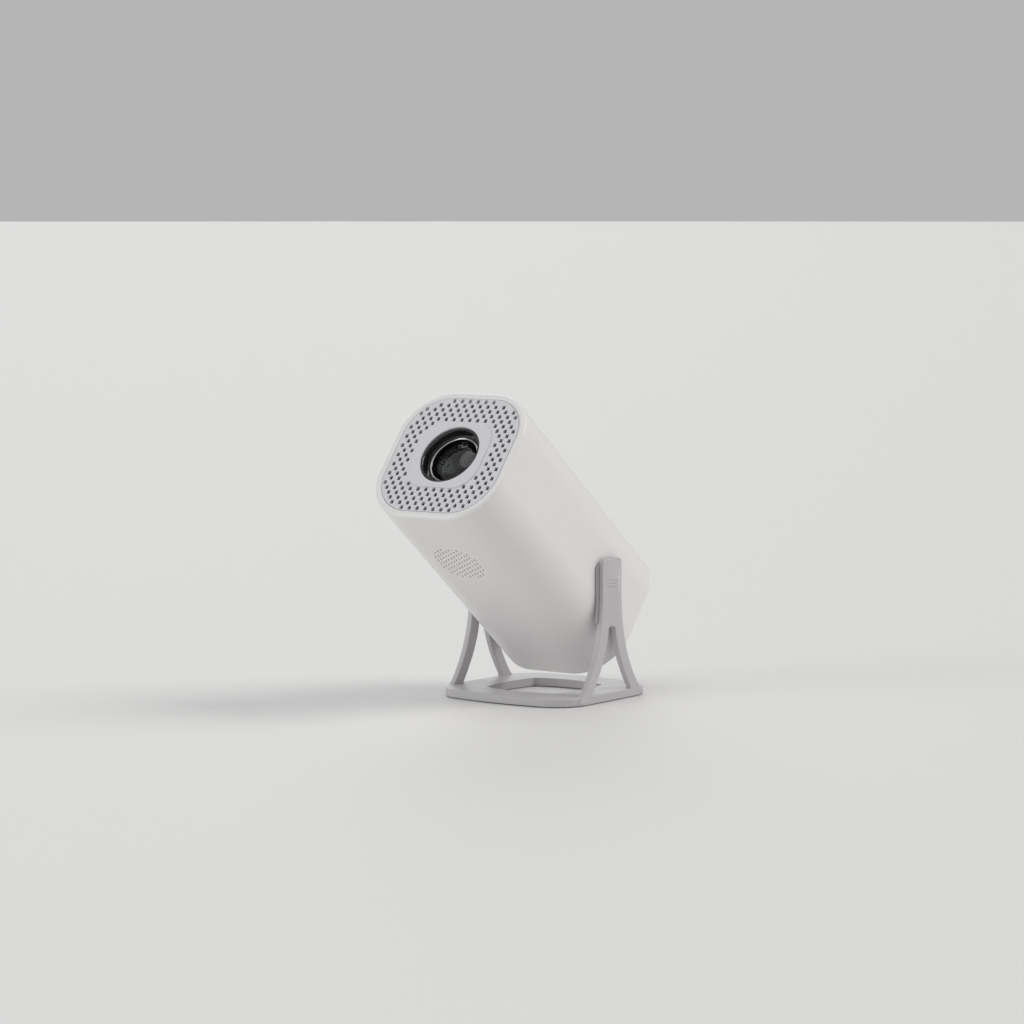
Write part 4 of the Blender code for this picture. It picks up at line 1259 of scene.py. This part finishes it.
def soft_sun(name, strength, direction, spread, tint=(1.0, 1.0, 1.0)):
    """A wide, even light from one direction, so that the floor is lit alike out to its edge."""
    light = bpy.data.lights.new(name, "SUN")
    light.energy = strength
    light.angle = math.radians(spread)
    light.color = tint
    made = bpy.data.objects.new(name, light)
    bpy.context.scene.collection.objects.link(made)
    made.rotation_euler = Vector(direction).normalized().to_track_quat("Z", "Y").to_euler()


def make_lights(settings):
    soft_sun("key", settings.key_strength, (0.62, 0.48, 0.62), 32, (1.0, 0.99, 0.97))
    soft_sun("fill", settings.fill_strength, (-0.50, -0.85, 0.18), 28, (0.98, 0.99, 1.0))
    soft_sun("top", settings.top_strength, (-0.15, -0.25, 1.0), 42)
    soft_sun("back", settings.back_strength, (-0.75, 0.80, 0.45), 35)
    world = bpy.data.worlds.new("soft_room")
    world.use_nodes = True
    sky = world.node_tree.nodes["Background"]
    sky.inputs["Color"].default_value = (1.0, 1.0, 1.0, 1.0)
    sky.inputs["Strength"].default_value = settings.ambient
    bpy.context.scene.world = world


def make_camera(settings):
    data = bpy.data.cameras.new("camera")
    data.lens = settings.focal_length
    data.sensor_width = 36.0
    data.clip_end = 200.0
    made = bpy.data.objects.new("camera", data)
    bpy.context.scene.collection.objects.link(made)
    target = Vector((-27.81 * MM, 33.65 * MM, 134.39 * MM))
    level = math.cos(settings.elevation)
    away = Vector((
        math.sin(settings.azimuth) * level, -math.cos(settings.azimuth) * level, math.sin(settings.elevation),
    ))
    made.location = target + away * settings.distance
    made.rotation_euler = away.to_track_quat("Z", "Y").to_euler()
    bpy.context.scene.camera = made


# ---------------------------------------------------------------- operators

class PROJECTOR_OT_cad_finishes(bpy.types.Operator):
    """Give every part that stays visible from the fixed model its own finish"""

    bl_idname = "projector.cad_finishes"
    bl_label = "Inner parts' finishes"

    def execute(self, context):
        finish_cad_nodes()
        return {"FINISHED"}


class PROJECTOR_OT_shell(bpy.types.Operator):
    """Build the satin shell with its openings and sound slots"""

    bl_idname = "projector.shell"
    bl_label = "Shell"

    def execute(self, context):
        make_shell(context.scene.projector_casing)
        return {"FINISHED"}


class PROJECTOR_OT_front_plate(bpy.types.Operator):
    """Build the perforated front plate and the land round the lens"""

    bl_idname = "projector.front_plate"
    bl_label = "Front plate"

    def execute(self, context):
        make_front_plate(context.scene.projector_casing)
        return {"FINISHED"}


class PROJECTOR_OT_gauzes(bpy.types.Operator):
    """Build the black gauzes behind the holes"""

    bl_idname = "projector.gauzes"
    bl_label = "Gauzes"

    def execute(self, context):
        make_gauzes(context.scene.projector_casing)
        return {"FINISHED"}


class PROJECTOR_OT_rear_cover(bpy.types.Operator):
    """Build the vented rear cover with its socket openings"""

    bl_idname = "projector.rear_cover"
    bl_label = "Rear cover"

    def execute(self, context):
        make_rear_cover()
        return {"FINISHED"}


class PROJECTOR_OT_rear_screws(bpy.types.Operator):
    """Build the four cover screws"""

    bl_idname = "projector.rear_screws"
    bl_label = "Rear screws"

    def execute(self, context):
        make_rear_screws()
        return {"FINISHED"}


class PROJECTOR_OT_socket_tongues(bpy.types.Operator):
    """Build the tongues and contacts inside the flat sockets"""

    bl_idname = "projector.socket_tongues"
    bl_label = "Socket tongues"

    def execute(self, context):
        make_socket_tongues()
        return {"FINISHED"}


class PROJECTOR_OT_power_button(bpy.types.Operator):
    """Build the dished power button"""

    bl_idname = "projector.power_button"
    bl_label = "Power button"

    def execute(self, context):
        make_power_button()
        return {"FINISHED"}


class PROJECTOR_OT_lens(bpy.types.Operator):
    """Build the glossy barrel, its ring and the domed lens"""

    bl_idname = "projector.lens"
    bl_label = "Lens"

    def execute(self, context):
        make_lens(context.scene.projector_lens)
        return {"FINISHED"}


class PROJECTOR_OT_focus_wheel(bpy.types.Operator):
    """Build the toothed thumb wheel that focuses the lens"""

    bl_idname = "projector.focus_wheel"
    bl_label = "Focus wheel"

    def execute(self, context):
        make_focus_wheel()
        return {"FINISHED"}


class PROJECTOR_OT_fan(bpy.types.Operator):
    """Build the fan's bladed rotor"""

    bl_idname = "projector.fan"
    bl_label = "Fan"

    def execute(self, context):
        make_fan()
        return {"FINISHED"}


class PROJECTOR_OT_stand(bpy.types.Operator):
    """Build the base and arms in one moulding"""

    bl_idname = "projector.stand"
    bl_label = "Stand"

    def execute(self, context):
        make_stand(context.scene.projector_stand)
        return {"FINISHED"}


class PROJECTOR_OT_arm_pads(bpy.types.Operator):
    """Build the pads between the arms and the casing"""

    bl_idname = "projector.arm_pads"
    bl_label = "Arm pads"

    def execute(self, context):
        make_arm_pads(context.scene.projector_stand)
        return {"FINISHED"}


class PROJECTOR_OT_stage(bpy.types.Operator):
    """Set up the floor, lights and camera"""

    bl_idname = "projector.stage"
    bl_label = "Stage"

    def execute(self, context):
        make_floor(context.scene.projector_stage)
        make_lights(context.scene.projector_stage)
        make_camera(context.scene.projector_stage)
        context.scene.view_settings.view_transform = "Standard"
        return {"FINISHED"}


SETTINGS = {
    "projector_casing": CasingSettings,
    "projector_stand": StandSettings,
    "projector_lens": LensSettings,
    "projector_stage": StageSettings,
}
OPERATORS = (
    PROJECTOR_OT_cad_finishes, PROJECTOR_OT_shell, PROJECTOR_OT_front_plate, PROJECTOR_OT_gauzes,
    PROJECTOR_OT_rear_cover, PROJECTOR_OT_rear_screws, PROJECTOR_OT_socket_tongues,
    PROJECTOR_OT_power_button, PROJECTOR_OT_lens, PROJECTOR_OT_focus_wheel, PROJECTOR_OT_fan,
    PROJECTOR_OT_stand, PROJECTOR_OT_arm_pads, PROJECTOR_OT_stage,
)


class PROJECTOR_PT_pieces(bpy.types.Panel):
    """Settings of the projector and the steps that build it"""

    bl_label = "Projector"
    bl_idname = "PROJECTOR_PT_pieces"
    bl_space_type = "VIEW_3D"
    bl_region_type = "UI"
    bl_category = "Projector"

    def draw(self, context):
        for operator in OPERATORS:
            self.layout.operator(operator.bl_idname)
        for name, settings in SETTINGS.items():
            box = self.layout.box()
            for field in settings.__annotations__:
                box.prop(getattr(context.scene, name), field)


CLASSES = (*SETTINGS.values(), *OPERATORS, PROJECTOR_PT_pieces)


def register():
    for item in CLASSES:
        bpy.utils.register_class(item)
    for name, settings in SETTINGS.items():
        setattr(bpy.types.Scene, name, PointerProperty(type=settings))


def unregister():
    for name in SETTINGS:
        delattr(bpy.types.Scene, name)
    for item in reversed(CLASSES):
        bpy.utils.unregister_class(item)


def main():
    register()
    for operator in OPERATORS:
        family, action = operator.bl_idname.split(".")
        getattr(getattr(bpy.ops, family), action)()


if __name__ == "__main__":
    main()
